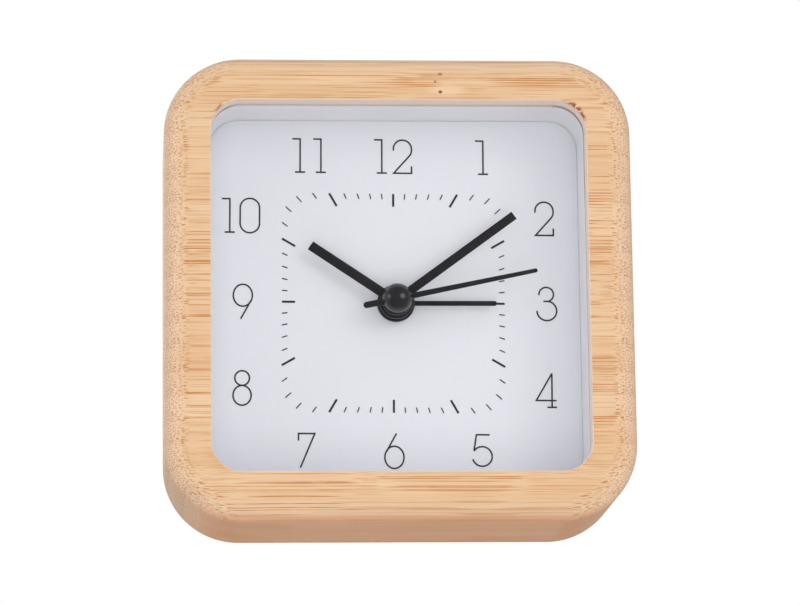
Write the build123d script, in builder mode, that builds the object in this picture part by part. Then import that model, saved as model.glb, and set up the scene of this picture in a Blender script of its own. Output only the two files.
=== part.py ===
"""A square wooden desk alarm clock with its quartz movement, in millimetres.

The clock stands on its flat underside. Z points up, the dial faces -Y and the
origin is the middle of the underside. Depths along Y run from the front face
to the back: wooden lip, window lens, air, dial, tray floor, movement, cover.
Every wheel turns about an axis along Y, and a place on such an axis is given
as (x, z) from the hand arbor.
"""

import math
import os

from build123d import *

# Wooden case
CASE_SIDE = 110.0
CASE_DEPTH = 46.0
CASE_CORNER_RADIUS = 18.0
CASE_FRONT_ROUNDING = 6.4
CASE_REAR_ROUNDING = 6.0
FRAME_WIDTH = 11.0
WINDOW_CORNER_RADIUS = 7.0
WINDOW_EDGE_EASE = 0.4
LIP_DEPTH = 5.0

# Window lens and the seat that it rests on behind the lip
LENS_SEAT = 2.0
LENS_THICKNESS = 2.0
LENS_CLEARANCE = 0.2

# Dial tray
DIAL_RECESS = 21.0
TRAY_CLEARANCE = 0.2
TRAY_WALL = 1.7
TRAY_FLOOR = 1.5
TRAY_GROOVE_DEPTH = 0.4
TRAY_GROOVE_WIDTH = 0.5
TRAY_GROOVE_SETBACK = 0.6
COVER_POST_INSET = 5.0
COVER_POST_RADIUS = 3.0

# Dial and its print, with margins measured from the dial's edge
DIAL_THICKNESS = 0.5
DIAL_CLEARANCE = 0.2
DIAL_HOLE_CLEARANCE = 0.2
PRINT_THICKNESS = 0.08
PRINT_SHIFT = -0.4
PRINT_RISE = 0.65
PRINT_TURN = 0.5
TRACK_MARGIN = 17.4
TRACK_CORNER_RADIUS = 6.6
HOUR_TICK_LENGTH = 3.1
HOUR_TICK_WIDTH = 0.5
MINUTE_TICK_LENGTH = 1.3
MINUTE_TICK_WIDTH = 0.26
NUMERAL_HEIGHT = 8.15
NUMERAL_STROKE = 0.37
NUMERAL_ROW_MARGIN = 8.2
NUMERAL_COLUMN_MARGIN = 7.8

# Hands: heights from the dial to the middle of each blade, margins from the tip to the dial's edge
ARBOR_DROP = 1.0
HAND_THICKNESS = 0.4
HUB_THICKNESS = 0.9
CAP_RADIUS = 3.5
CAP_SKIRT = 1.0
CAP_DOME = 2.1
CAP_SOCKET_DEPTH = 1.2
SECOND_ARBOR_RADIUS = 0.475
SECOND_HAND_TAIL = 8.2
SECOND_HAND_TAIL_WIDTH = 1.5
SECOND_HAND_TIP_WIDTH = 0.95
ALARM_HAND_HEIGHT = 2.5
ALARM_HAND_MARGIN = 19.9
ALARM_HAND_WIDTH = 1.15
ALARM_HAND_ANGLE = 90.0
ALARM_HUB_RADIUS = 4.5
HOUR_HAND_HEIGHT = 4.2
HOUR_HAND_MARGIN = 19.5
HOUR_HAND_WIDTH = 2.15
HOUR_HAND_ANGLE = 304.0
HOUR_HUB_RADIUS = 4.1
MINUTE_HAND_HEIGHT = 6.0
MINUTE_HAND_MARGIN = 9.0
MINUTE_HAND_WIDTH = 2.1
MINUTE_HAND_ANGLE = 53.7
MINUTE_HUB_RADIUS = 3.6
SECOND_HAND_HEIGHT = 8.0
SECOND_HAND_MARGIN = 9.9
SECOND_HAND_ANGLE = 78.2
SECOND_HUB_RADIUS = 3.0

# Concentric tubes that carry the hands, worked outwards from the second arbor
RUNNING_CLEARANCE = 0.05
MINUTE_TUBE_WALL = 0.8
HOUR_TUBE_WALL = 0.42
ALARM_TUBE_WALL = 0.66
CENTRE_POST_WALL = 0.95
CENTRE_POST_REACH = 1.0

# Movement plates and housing
PARTITION_CLEARANCE = 0.88
COIL_CLEARANCE = 0.44
HOUSING_WALL = 1.2
FRONT_PLATE_THICKNESS = 1.2
CENTRE_PLATE_THICKNESS = 1.0
CENTRE_PLATE_MARGIN = 1.8
PLATE_POST_RADIUS = 1.5
PLATE_POST_SIDE_INSET = 6.0
PLATE_POST_TOP_INSET = 5.0
PLATE_POST_FOOT_INSET = 3.8
LAYER_GAP = 0.4
WHEEL_THICKNESS = 0.6
SETTING_WHEEL_THICKNESS = 0.8
PINION_OVERHANG = 0.1
BEARING_BOSS_RADIUS = 1.0
BEARING_DEPTH = 1.0
EAR_LENGTH = 7.0
EAR_WIDTH = 7.0
EAR_THICKNESS = 1.5
EAR_BOSS_HEIGHT = 4.0
EAR_BOSS_RADIUS = 2.5
EAR_PITCH = 38.0

# Wheel train: centre distances and numbers of teeth
ROTOR_DISTANCE = 4.48
INTERMEDIATE_DISTANCE = 6.48
THIRD_DISTANCE = 6.46
SETTING_DISTANCE = 8.0
ALARM_SETTING_DISTANCE = 9.0
INTERMEDIATE_WHEEL_TEETH = 48
SECOND_WHEEL_TEETH = 40
THIRD_WHEEL_TEETH = 60
CENTRE_WHEEL_TEETH = 64
TRAIN_PINION_TEETH = 8
SETTING_WHEEL_TEETH = 36
CANNON_PINION_TEETH = 12
HOUR_WHEEL_TEETH = 40
SETTING_PINION_TEETH = 10
ALARM_WHEEL_TEETH = 40
ALARM_PINION_TEETH = 20
WHEEL_TOOTH_SHARES = ((-1.15, 0.95), (0, 0.66), (0.75, 0.36))
PINION_TOOTH_SHARES = ((-1.15, 0.55), (0, 0.62), (0.9, 0.3))
THIRD_ARBOR_RADIUS = 0.35
INTERMEDIATE_ARBOR_RADIUS = 0.3
ROTOR_ARBOR_RADIUS = 0.25
SETTING_PIVOT_RADIUS = 0.5
SETTING_SHAFT_RADIUS = 1.5
SETTING_PIVOT_GRIP = 4.0

# Stepping motor
ROTOR_MAGNET_RADIUS = 2.2
ROTOR_MAGNET_THICKNESS = 1.2
ROTOR_GAP = 0.3
STATOR_THICKNESS = 0.7
STATOR_RING_WALL = 1.2
STATOR_HALF_SPAN = 15.5
STATOR_LIMB_WIDTH = 4.0
STATOR_WAIST = 5.0
COIL_RISE = 10.0
CORE_WIDTH = 2.0
CORE_THICKNESS = 0.7
BOBBIN_LENGTH = 20.0
BOBBIN_TUBE_RADIUS = 1.4
BOBBIN_FLANGE_RADIUS = 2.4
BOBBIN_FLANGE_THICKNESS = 0.8
WINDING_RADIUS = 2.1
CORE_POST_RADIUS = 1.2

# Circuit board, crystal, chip and the alarm's contact leaf
BOARD_WIDTH = 9.6
BOARD_HEIGHT = 23.0
BOARD_THICKNESS = 1.0
BOARD_STANDOFF = 1.6
BOARD_POST_RADIUS = 1.2
BOARD_POST_INSET = 2.6
BOARD_MARGIN = 0.8
BOARD_CENTRE_Z = 4.0
CHIP_RADIUS = 2.5
CHIP_HEIGHT = 1.2
CHIP_ROUNDING = 0.8
CHIP_DROP = 5.0
CRYSTAL_RADIUS = 1.0
CRYSTAL_LENGTH = 6.0
CRYSTAL_RISE = 4.5
LEAF_LENGTH = 13.0
LEAF_WIDTH = 2.0
LEAF_THICKNESS = 0.2
LEAF_GAP = 0.1
LEAF_OUTER_X = -17.0
LEAF_Z = 3.2

# Battery and its contacts
BATTERY_RADIUS = 7.1
BATTERY_CAN_LENGTH = 49.5
BATTERY_NUB_LENGTH = 1.0
BATTERY_NUB_RADIUS = 2.75
BATTERY_CLEARANCE = 0.3
CONTACT_THICKNESS = 0.4
CONTACT_SIZE = 10.0
CONTACT_CUP_RADIUS = 4.0
CONTACT_CUP_DEPTH = 2.3

# Rear cover, battery door and screws
COVER_LEDGE = 1.5
COVER_CLEARANCE = 0.2
COVER_GAP = 1.0
COVER_THICKNESS = 2.5
DOOR_THICKNESS = 1.2
DOOR_CLEARANCE = 0.2
DOOR_LEDGE = 2.0
DOOR_RIDGE_LENGTH = 10.0
DOOR_RIDGE_WIDTH = 0.8
DOOR_RIDGE_DEPTH = 0.4
DOOR_RIDGE_PITCH = 1.8
SOUND_HOLE_RADIUS = 0.8
SOUND_HOLE_PITCH = 2.8
COVER_SCREW_RADIUS = 1.0
COVER_SCREW_LENGTH = 9.0
EAR_SCREW_RADIUS = 0.95
EAR_SCREW_GRIP = 4.0
SCREW_HEAD_RADIUS = 1.9
SCREW_HEAD_HEIGHT = 1.2
SCREW_HEAD_CLEARANCE = 0.25
SCREW_HOLE_CLEARANCE = 0.15
SCREW_HOLE_OVERRUN = 0.4
SCREW_SLOT_WIDTH = 0.5
SCREW_SLOT_DEPTH = 0.6

# Knobs, buzzer and alarm switch
KNOB_RADIUS = 6.5
KNOB_THICKNESS = 2.6
KNOB_GAP = 0.3
KNOB_FLUTES = 28
KNOB_FLUTE_RADIUS = 0.45
KNOB_DISH_RADIUS = 4.2
KNOB_DISH_DEPTH = 0.5
BUZZER_X = -20.0
BUZZER_MARGIN = 3.0
BUZZER_HEIGHT = 5.5
BUZZER_PORT_RADIUS = 1.5
BUZZER_PORT_DEPTH = 1.0
SWITCH_X = 20.0
SWITCH_TRAVEL = 3.0
SWITCH_WALL = 1.4
SWITCH_DEPTH = 4.0
SWITCH_CLEARANCE = 0.3
SLIDER_FOOT_LENGTH = 6.0
SLIDER_FOOT_WIDTH = 4.6
SLIDER_FOOT_THICKNESS = 1.6
SLIDER_STEM_LENGTH = 3.0
SLIDER_STEM_WIDTH = 2.4
SLIDER_STAND = 1.8

# How far a cut runs past the faces that it goes through
OVERRUN = 1.0

# Depths along Y of the case, lens, dial and tray
FRONT_Y = -CASE_DEPTH / 2
LENS_FRONT_Y = FRONT_Y + LIP_DEPTH
LENS_REAR_Y = LENS_FRONT_Y + LENS_THICKNESS
DIAL_FRONT_Y = FRONT_Y + DIAL_RECESS
DIAL_REAR_Y = DIAL_FRONT_Y + DIAL_THICKNESS
TRAY_REAR_Y = DIAL_REAR_Y + TRAY_FLOOR
PRINT_FRONT_Y = DIAL_FRONT_Y - PRINT_THICKNESS

# Depths of the movement's layers, each wheel a gap behind the one before
FRONT_PLATE_REAR_Y = TRAY_REAR_Y + FRONT_PLATE_THICKNESS
ALARM_WHEEL_Y = FRONT_PLATE_REAR_Y + 2 * LAYER_GAP
HOUR_WHEEL_Y = ALARM_WHEEL_Y + SETTING_WHEEL_THICKNESS + LAYER_GAP
SETTING_WHEEL_Y = HOUR_WHEEL_Y + SETTING_WHEEL_THICKNESS + LAYER_GAP
CENTRE_PLATE_Y = SETTING_WHEEL_Y + SETTING_WHEEL_THICKNESS + LAYER_GAP
CENTRE_PLATE_REAR_Y = CENTRE_PLATE_Y + CENTRE_PLATE_THICKNESS
CENTRE_WHEEL_Y = CENTRE_PLATE_REAR_Y + LAYER_GAP
THIRD_WHEEL_Y = CENTRE_WHEEL_Y + WHEEL_THICKNESS + LAYER_GAP
SECOND_WHEEL_Y = THIRD_WHEEL_Y + WHEEL_THICKNESS + LAYER_GAP
INTERMEDIATE_WHEEL_Y = SECOND_WHEEL_Y + WHEEL_THICKNESS + LAYER_GAP
STATOR_Y = INTERMEDIATE_WHEEL_Y + WHEEL_THICKNESS + LAYER_GAP
CORE_Y = STATOR_Y + STATOR_THICKNESS
CORE_REAR_Y = CORE_Y + CORE_THICKNESS
COIL_Y = CORE_Y + CORE_THICKNESS / 2
MAGNET_Y = STATOR_Y + (STATOR_THICKNESS - ROTOR_MAGNET_THICKNESS) / 2
BATTERY_Y = FRONT_PLATE_REAR_Y + BATTERY_CLEARANCE + BATTERY_RADIUS
HOUSING_REAR_Y = BATTERY_Y + BATTERY_RADIUS + BATTERY_CLEARANCE
HOUSING_INNER_Y = HOUSING_REAR_Y - HOUSING_WALL
COVER_FRONT_Y = HOUSING_REAR_Y + COVER_GAP
COVER_REAR_Y = COVER_FRONT_Y + COVER_THICKNESS
KNOB_Y = COVER_REAR_Y + KNOB_GAP

# Sides and radii of the pieces that nest in the case
CASE_CENTRE_Z = CASE_SIDE / 2
ARBOR_Z = CASE_CENTRE_Z - ARBOR_DROP
WINDOW_SIDE = CASE_SIDE - 2 * FRAME_WIDTH
CAVITY_SIDE = WINDOW_SIDE + 2 * LENS_SEAT
CAVITY_CORNER_RADIUS = WINDOW_CORNER_RADIUS + LENS_SEAT
LENS_SIDE = CAVITY_SIDE - 2 * LENS_CLEARANCE
TRAY_SIDE = CAVITY_SIDE - 2 * TRAY_CLEARANCE
TRAY_INNER_SIDE = TRAY_SIDE - 2 * TRAY_WALL
TRAY_INNER_RADIUS = CAVITY_CORNER_RADIUS - TRAY_CLEARANCE - TRAY_WALL
DIAL_SIDE = TRAY_INNER_SIDE - 2 * DIAL_CLEARANCE
DIAL_CORNER_RADIUS = TRAY_INNER_RADIUS - DIAL_CLEARANCE
REBATE_SIDE = CAVITY_SIDE + 2 * COVER_LEDGE
REBATE_CORNER_RADIUS = CAVITY_CORNER_RADIUS + COVER_LEDGE
COVER_SIDE = REBATE_SIDE - 2 * COVER_CLEARANCE

# Reaches of the print and the hands from their middles
TRACK_HALF_SIDE = DIAL_SIDE / 2 - TRACK_MARGIN
NUMERAL_ROW_REACH = DIAL_SIDE / 2 - NUMERAL_ROW_MARGIN
NUMERAL_COLUMN_REACH = DIAL_SIDE / 2 - NUMERAL_COLUMN_MARGIN
ALARM_HAND_LENGTH = DIAL_SIDE / 2 - ALARM_HAND_MARGIN
HOUR_HAND_LENGTH = DIAL_SIDE / 2 - HOUR_HAND_MARGIN
MINUTE_HAND_LENGTH = DIAL_SIDE / 2 - MINUTE_HAND_MARGIN
SECOND_HAND_LENGTH = DIAL_SIDE / 2 - SECOND_HAND_MARGIN

# Radii of the concentric tubes
MINUTE_TUBE_BORE = SECOND_ARBOR_RADIUS + RUNNING_CLEARANCE
MINUTE_TUBE_RADIUS = MINUTE_TUBE_BORE + MINUTE_TUBE_WALL
HOUR_TUBE_BORE = MINUTE_TUBE_RADIUS + RUNNING_CLEARANCE
HOUR_TUBE_RADIUS = HOUR_TUBE_BORE + HOUR_TUBE_WALL
ALARM_TUBE_BORE = HOUR_TUBE_RADIUS + RUNNING_CLEARANCE
ALARM_TUBE_RADIUS = ALARM_TUBE_BORE + ALARM_TUBE_WALL
CENTRE_POST_BORE = ALARM_TUBE_RADIUS + RUNNING_CLEARANCE
CENTRE_POST_RADIUS = CENTRE_POST_BORE + CENTRE_POST_WALL
DIAL_HOLE_RADIUS = CENTRE_POST_RADIUS + DIAL_HOLE_CLEARANCE

# Places of the arbors, of the movement's middle and of the battery, as (x, z) from the hand arbor
CENTRE = (0, 0)
THIRD_PLACE = (0, -THIRD_DISTANCE)
INTERMEDIATE_PLACE = (0, INTERMEDIATE_DISTANCE)
ROTOR_PLACE = (0, INTERMEDIATE_DISTANCE + ROTOR_DISTANCE)
SETTING_PLACE = (SETTING_DISTANCE, 0)
ALARM_SETTING_PLACE = (-ALARM_SETTING_DISTANCE, 0)
COIL_Z = ROTOR_PLACE[1] + COIL_RISE
COMPARTMENT_HEIGHT = 2 * (BATTERY_RADIUS + BATTERY_CLEARANCE)
COMPARTMENT_LENGTH = (
    BATTERY_CAN_LENGTH + BATTERY_NUB_LENGTH + 2 * CONTACT_THICKNESS + CONTACT_CUP_DEPTH
)
PARTITION_Z = -2 * THIRD_DISTANCE - PARTITION_CLEARANCE
BATTERY_Z = PARTITION_Z - HOUSING_WALL - COMPARTMENT_HEIGHT / 2
MOVEMENT_TOP_Z = COIL_Z + BOBBIN_FLANGE_RADIUS + COIL_CLEARANCE + HOUSING_WALL
MOVEMENT_FOOT_Z = BATTERY_Z - COMPARTMENT_HEIGHT / 2 - HOUSING_WALL
MOVEMENT_WIDTH = COMPARTMENT_LENGTH + 2 * HOUSING_WALL
MOVEMENT_HEIGHT = MOVEMENT_TOP_Z - MOVEMENT_FOOT_Z
MOVEMENT_PLACE = (0, (MOVEMENT_TOP_Z + MOVEMENT_FOOT_Z) / 2)
EAR_SCREW_X = MOVEMENT_WIDTH / 2 + EAR_LENGTH / 2
EAR_Y = TRAY_REAR_Y + EAR_BOSS_HEIGHT

# Screws: how deep each one reaches, and the slider's depths and middle
COVER_SCREW_SEAT_Y = COVER_REAR_Y - SCREW_HEAD_HEIGHT
COVER_SCREW_TIP_Y = COVER_SCREW_SEAT_Y - COVER_SCREW_LENGTH
EAR_SCREW_SEAT_Y = EAR_Y + EAR_THICKNESS
EAR_SCREW_TIP_Y = EAR_Y - EAR_SCREW_GRIP
SLIDER_FOOT_REAR_Y = COVER_FRONT_Y - SWITCH_CLEARANCE / 2
SLIDER_FOOT_FRONT_Y = SLIDER_FOOT_REAR_Y - SLIDER_FOOT_THICKNESS
SLIDER_X = SWITCH_X - SWITCH_TRAVEL / 2

# The buzzer and the switch lie halfway between the movement and the top of the case's hollow
HEADROOM_TOP_Z = CAVITY_SIDE / 2 + ARBOR_DROP
HEADROOM_MIDDLE_Z = (HEADROOM_TOP_Z + MOVEMENT_TOP_Z) / 2
BUZZER_RADIUS = (HEADROOM_TOP_Z - MOVEMENT_TOP_Z) / 2 - BUZZER_MARGIN
SWITCH_PLACE = (SWITCH_X, HEADROOM_MIDDLE_Z)
SLIDER_PLACE = (SLIDER_X, HEADROOM_MIDDLE_Z)
BUZZER_PLACE = (BUZZER_X, HEADROOM_MIDDLE_Z)

# Centre lines of the digits from each one's middle, as shares of the numeral's height:
# first the straight lines, then the arcs through three points
DIGIT_LINE_SHARES = {
    "1": [[(-0.228, 0.5), (0, 0.5), (0, -0.5)], [(-0.148, -0.5), (0.148, -0.5)]],
    "2": [[(0.2, 0.02), (-0.26, -0.5), (0.265, -0.5), (0.265, -0.29)]],
    "3": [[(-0.07, 0.085), (0.08, 0.085)]],
    "4": [
        [(0.17, 0.5), (-0.29, -0.3), (0.3, -0.3)],
        [(0.17, 0.5), (0.17, -0.5)],
        [(0.03, -0.5), (0.31, -0.5)],
    ],
    "5": [[(0.21, 0.5), (-0.175, 0.5), (-0.25, 0.02)]],
    "6": [[(0.06, 0.52), (-0.232, -0.02)]],
    "7": [[(-0.235, 0.29), (-0.235, 0.5), (0.235, 0.5), (-0.18, -0.5)]],
    "9": [[(-0.06, -0.52), (0.232, 0.02)]],
}
DIGIT_ARC_SHARES = {
    "2": [((-0.265, 0.18), (0, 0.5), (0.262, 0.23)), ((0.262, 0.23), (0.255, 0.12), (0.2, 0.02))],
    "3": [((-0.2, 0.27), (-0.01, 0.5), (0.08, 0.085)), ((0.08, 0.085), (0.2, -0.43), (-0.262, -0.2))],
    "5": [((-0.25, 0.02), (0.275, -0.1), (-0.285, -0.215))],
}

# Closed loops of the digits: middle, half width and half height, as shares of the numeral's height
DIGIT_LOOP_SHARES = {
    "6": [(0, -0.18, 0.277, 0.325)],
    "8": [(0, 0.291, 0.212, 0.215), (0, -0.217, 0.262, 0.29)],
    "9": [(0, 0.18, 0.277, 0.325)],
}
ZERO_WIDTH_SHARE = 0.566
ZERO_HEIGHT_SHARE = 1.03

# Each hour's digits, with their places along the line as shares of the numeral's height
HOUR_DIGIT_SHARES = {
    1: [("1", 0.12)],
    2: [("2", 0.01)],
    3: [("3", 0.03)],
    4: [("4", 0.01)],
    5: [("5", 0.04)],
    6: [("6", 0.01)],
    7: [("7", 0.0)],
    8: [("8", 0.03)],
    9: [("9", 0.04)],
    10: [("1", -0.35), ("0", 0.235)],
    11: [("1", -0.2), ("1", 0.41)],
    12: [("1", -0.33), ("2", 0.28)],
}


def case_plane(y):
    """A plane across the clock at a depth, on the middle of the case: x to the right, y up."""
    return Plane(origin=(0, y, CASE_CENTRE_Z), x_dir=(1, 0, 0), z_dir=(0, -1, 0))


def arbor_plane(y):
    """A plane across the clock at a depth, on the hand arbor."""
    return Plane(origin=(0, y, ARBOR_Z), x_dir=(1, 0, 0), z_dir=(0, -1, 0))


def print_plane(y):
    """A plane on the middle of the dial's print, which sits a little off the arbor and turned."""
    turn = math.radians(PRINT_TURN)
    return Plane(
        origin=(PRINT_SHIFT, y, ARBOR_Z + PRINT_RISE),
        x_dir=(math.cos(turn), 0, -math.sin(turn)),
        z_dir=(0, -1, 0),
    )


def rounded_block(plane_at, front_y, rear_y, side, radius, mode=Mode.ADD):
    """A square block with rounded corners, from one depth to another."""
    with BuildSketch(plane_at(front_y)) as outline:
        RectangleRounded(side, side, radius)
    extrude(outline.sketch, amount=front_y - rear_y, mode=mode)


def round_bar(front_y, rear_y, radius, place=CENTRE, mode=Mode.ADD):
    """A cylinder along Y from one depth to another, or several of them where place is a list."""
    places = place if isinstance(place, list) else [place]
    with BuildSketch(arbor_plane(front_y)) as outline:
        with Locations(*places):
            Circle(radius)
    extrude(outline.sketch, amount=front_y - rear_y, mode=mode)


def flat_block(front_y, rear_y, width, height, place=CENTRE, mode=Mode.ADD):
    """A plain rectangular block from one depth to another."""
    with BuildSketch(arbor_plane(front_y)) as outline:
        with Locations(place):
            Rectangle(width, height)
    extrude(outline.sketch, amount=front_y - rear_y, mode=mode)


def grid_places(width, height, middle=CENTRE):
    """The four corners of a rectangle."""
    return [
        (middle[0] + side * width / 2, middle[1] + rise * height / 2)
        for side in (-1, 1)
        for rise in (-1, 1)
    ]


def gear_module(distance, teeth, other_teeth):
    """The module of two meshing gears whose centres lie a distance apart."""
    return 2 * distance / (teeth + other_teeth)


def gear(front_y, thickness, place, teeth, module, facing, tooth_shares, first_share):
    """A spur gear. Its first tooth points at facing, or lies first_share of a pitch past it."""
    pitch_radius = module * teeth / 2
    points = []
    for tooth in range(teeth):
        middle = math.radians(facing + 360 * (tooth + first_share) / teeth)
        flank = [(pitch_radius + module * rise, module * half) for rise, half in tooth_shares]
        corners = [(radius, middle - half / radius) for radius, half in flank]
        corners += [(radius, middle + half / radius) for radius, half in reversed(flank)]
        for radius, angle in corners:
            points.append((place[0] + radius * math.cos(angle), place[1] + radius * math.sin(angle)))
    with BuildSketch(arbor_plane(front_y)) as outline:
        with BuildLine():
            Polyline(*points, close=True)
        make_face()
    extrude(outline.sketch, amount=-thickness)


def wheel(front_y, thickness, place, teeth, module, facing):
    """The larger gear of a pair, with a tooth on the line to its partner."""
    gear(front_y, thickness, place, teeth, module, facing, WHEEL_TOOTH_SHARES, 0)


def pinion(front_y, thickness, place, teeth, module, facing):
    """The smaller gear of a pair, with a gap on the line to its partner."""
    gear(front_y, thickness, place, teeth, module, facing, PINION_TOOTH_SHARES, 0.5)


def tube_front(height):
    """The front end of a hand's tube: level with the front of its hub."""
    return DIAL_FRONT_Y - height - HUB_THICKNESS / 2


def hub(height, radius, bore):
    """A hand's hub, a disc with a bore that grips its tube."""
    front_y = tube_front(height)
    round_bar(front_y, front_y + HUB_THICKNESS, radius)
    round_bar(front_y, front_y + HUB_THICKNESS, bore, mode=Mode.SUBTRACT)


def save(builder, name):
    """Labels a finished piece and writes it under its name."""
    builder.part.label = name
    export_step(builder.part, f"parts/{name}.step")


os.makedirs("parts", exist_ok=True)

# Wooden case: a rounded block, hollow from behind, with a lip round the window
with BuildPart() as wooden_case:
    rounded_block(case_plane, FRONT_Y, FRONT_Y + CASE_DEPTH, CASE_SIDE, CASE_CORNER_RADIUS)
    fillet(wooden_case.faces().sort_by(Axis.Y)[0].edges(), CASE_FRONT_ROUNDING)
    fillet(wooden_case.faces().sort_by(Axis.Y)[-1].edges(), CASE_REAR_ROUNDING)
    rounded_block(
        case_plane, FRONT_Y - OVERRUN, LENS_FRONT_Y, WINDOW_SIDE, WINDOW_CORNER_RADIUS, Mode.SUBTRACT
    )
    window_edges = wooden_case.faces().sort_by(Axis.Y)[0].inner_wires()[0].edges()
    fillet(window_edges, WINDOW_EDGE_EASE)
    rounded_block(
        case_plane, LENS_FRONT_Y, COVER_FRONT_Y, CAVITY_SIDE, CAVITY_CORNER_RADIUS, Mode.SUBTRACT
    )
    rounded_block(
        case_plane, COVER_FRONT_Y, CASE_DEPTH, REBATE_SIDE, REBATE_CORNER_RADIUS, Mode.SUBTRACT
    )
save(wooden_case, "wooden_case")

# Window lens, pressed against the back of the lip by the tray
with BuildPart() as window_lens:
    rounded_block(
        case_plane, LENS_FRONT_Y, LENS_REAR_Y, LENS_SIDE, CAVITY_CORNER_RADIUS - LENS_CLEARANCE
    )
save(window_lens, "window_lens")

# Dial tray: the pale sleeve between lens and dial, its floor, and the posts behind the floor
with BuildPart() as dial_tray:
    rounded_block(
        case_plane, LENS_REAR_Y, TRAY_REAR_Y, TRAY_SIDE, TRAY_INNER_RADIUS + TRAY_WALL
    )
    rounded_block(
        case_plane, LENS_REAR_Y, DIAL_REAR_Y, TRAY_INNER_SIDE, TRAY_INNER_RADIUS, Mode.SUBTRACT
    )
    groove_rear_y = DIAL_FRONT_Y - TRAY_GROOVE_SETBACK
    rounded_block(
        case_plane,
        groove_rear_y - TRAY_GROOVE_WIDTH,
        groove_rear_y,
        TRAY_INNER_SIDE + 2 * TRAY_GROOVE_DEPTH,
        TRAY_INNER_RADIUS + TRAY_GROOVE_DEPTH,
        Mode.SUBTRACT,
    )
    round_bar(DIAL_REAR_Y - OVERRUN, TRAY_REAR_Y + OVERRUN, DIAL_HOLE_RADIUS, mode=Mode.SUBTRACT)
    cover_post_pitch = CAVITY_SIDE - 2 * COVER_POST_INSET
    cover_post_places = grid_places(cover_post_pitch, cover_post_pitch, (0, ARBOR_DROP))
    ear_places = grid_places(2 * EAR_SCREW_X, EAR_PITCH, MOVEMENT_PLACE)
    round_bar(TRAY_REAR_Y, COVER_FRONT_Y, COVER_POST_RADIUS, cover_post_places)
    round_bar(TRAY_REAR_Y, EAR_Y, EAR_BOSS_RADIUS, ear_places)
    round_bar(
        COVER_SCREW_TIP_Y - SCREW_HOLE_OVERRUN,
        COVER_FRONT_Y,
        COVER_SCREW_RADIUS,
        cover_post_places,
        Mode.SUBTRACT,
    )
    round_bar(EAR_SCREW_TIP_Y, EAR_Y, EAR_SCREW_RADIUS, ear_places, Mode.SUBTRACT)
save(dial_tray, "dial_tray")

# Dial sheet, lying on the tray's floor
with BuildPart() as dial_face:
    rounded_block(case_plane, DIAL_FRONT_Y, DIAL_REAR_Y, DIAL_SIDE, DIAL_CORNER_RADIUS)
    round_bar(DIAL_FRONT_Y, DIAL_REAR_Y, DIAL_HOLE_RADIUS, mode=Mode.SUBTRACT)
save(dial_face, "dial_face")


def track_reach(angle, half_side, corner_radius):
    """How far the rounded square lies from its middle, in a direction clockwise from twelve."""
    across = abs(math.sin(math.radians(angle)))
    along = abs(math.cos(math.radians(angle)))
    flat_reach = half_side / max(across, along)
    corner = half_side - corner_radius
    if min(across, along) * flat_reach <= corner:
        return flat_reach
    middle = corner * (across + along)
    return middle + math.sqrt(middle**2 - 2 * corner**2 + corner_radius**2)


# Minute track: sixty ticks that point at the middle, longer at the hours
with BuildPart() as minute_track:
    with BuildSketch(print_plane(PRINT_FRONT_Y)):
        for minute in range(60):
            angle = 6 * minute
            on_hour = minute % 5 == 0
            length = HOUR_TICK_LENGTH if on_hour else MINUTE_TICK_LENGTH
            width = HOUR_TICK_WIDTH if on_hour else MINUTE_TICK_WIDTH
            outer = track_reach(angle, TRACK_HALF_SIDE, TRACK_CORNER_RADIUS)
            inner = track_reach(angle, TRACK_HALF_SIDE - length, TRACK_CORNER_RADIUS)
            middle = (outer + inner) / 2
            tick_place = (
                middle * math.sin(math.radians(angle)),
                middle * math.cos(math.radians(angle)),
            )
            with Locations(tick_place):
                Rectangle(width, outer - inner, rotation=-angle)
    extrude(amount=-PRINT_THICKNESS)
save(minute_track, "minute_track")


def numeral_station(hour):
    """Where an hour's numeral stands: on a rectangle, in the direction of its hour."""
    across = math.sin(math.radians(30 * hour))
    along = math.cos(math.radians(30 * hour))
    if abs(along) > abs(across):
        row = math.copysign(NUMERAL_ROW_REACH, along)
        return (row * across / along, row)
    column = math.copysign(NUMERAL_COLUMN_REACH, across)
    return (column, column * along / across)


def draw_digit(digit, middle_x, middle_z):
    """Adds one digit to the open sketch: traced centre lines and closed loops."""

    def place(point):
        return (middle_x + NUMERAL_HEIGHT * point[0], middle_z + NUMERAL_HEIGHT * point[1])

    for line_points in DIGIT_LINE_SHARES.get(digit, []):
        with BuildLine() as stroke:
            Polyline(*[place(point) for point in line_points])
        trace(stroke.line, line_width=NUMERAL_STROKE)
    for arc_points in DIGIT_ARC_SHARES.get(digit, []):
        with BuildLine() as stroke:
            ThreePointArc(*[place(point) for point in arc_points])
        trace(stroke.line, line_width=NUMERAL_STROKE)
    for loop_x, loop_z, half_width, half_height in DIGIT_LOOP_SHARES.get(digit, []):
        with BuildSketch(mode=Mode.PRIVATE) as loop:
            with Locations(place((loop_x, loop_z))):
                Ellipse(
                    NUMERAL_HEIGHT * half_width + NUMERAL_STROKE / 2,
                    NUMERAL_HEIGHT * half_height + NUMERAL_STROKE / 2,
                )
                Ellipse(
                    NUMERAL_HEIGHT * half_width - NUMERAL_STROKE / 2,
                    NUMERAL_HEIGHT * half_height - NUMERAL_STROKE / 2,
                    mode=Mode.SUBTRACT,
                )
        add(loop.sketch)
    if digit == "0":
        width = NUMERAL_HEIGHT * ZERO_WIDTH_SHARE
        height = NUMERAL_HEIGHT * ZERO_HEIGHT_SHARE
        with BuildSketch(mode=Mode.PRIVATE) as loop:
            with Locations((middle_x, middle_z)):
                SlotOverall(height + NUMERAL_STROKE, width + NUMERAL_STROKE, rotation=90)
                SlotOverall(
                    height - NUMERAL_STROKE, width - NUMERAL_STROKE, rotation=90, mode=Mode.SUBTRACT
                )
        add(loop.sketch)


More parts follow.
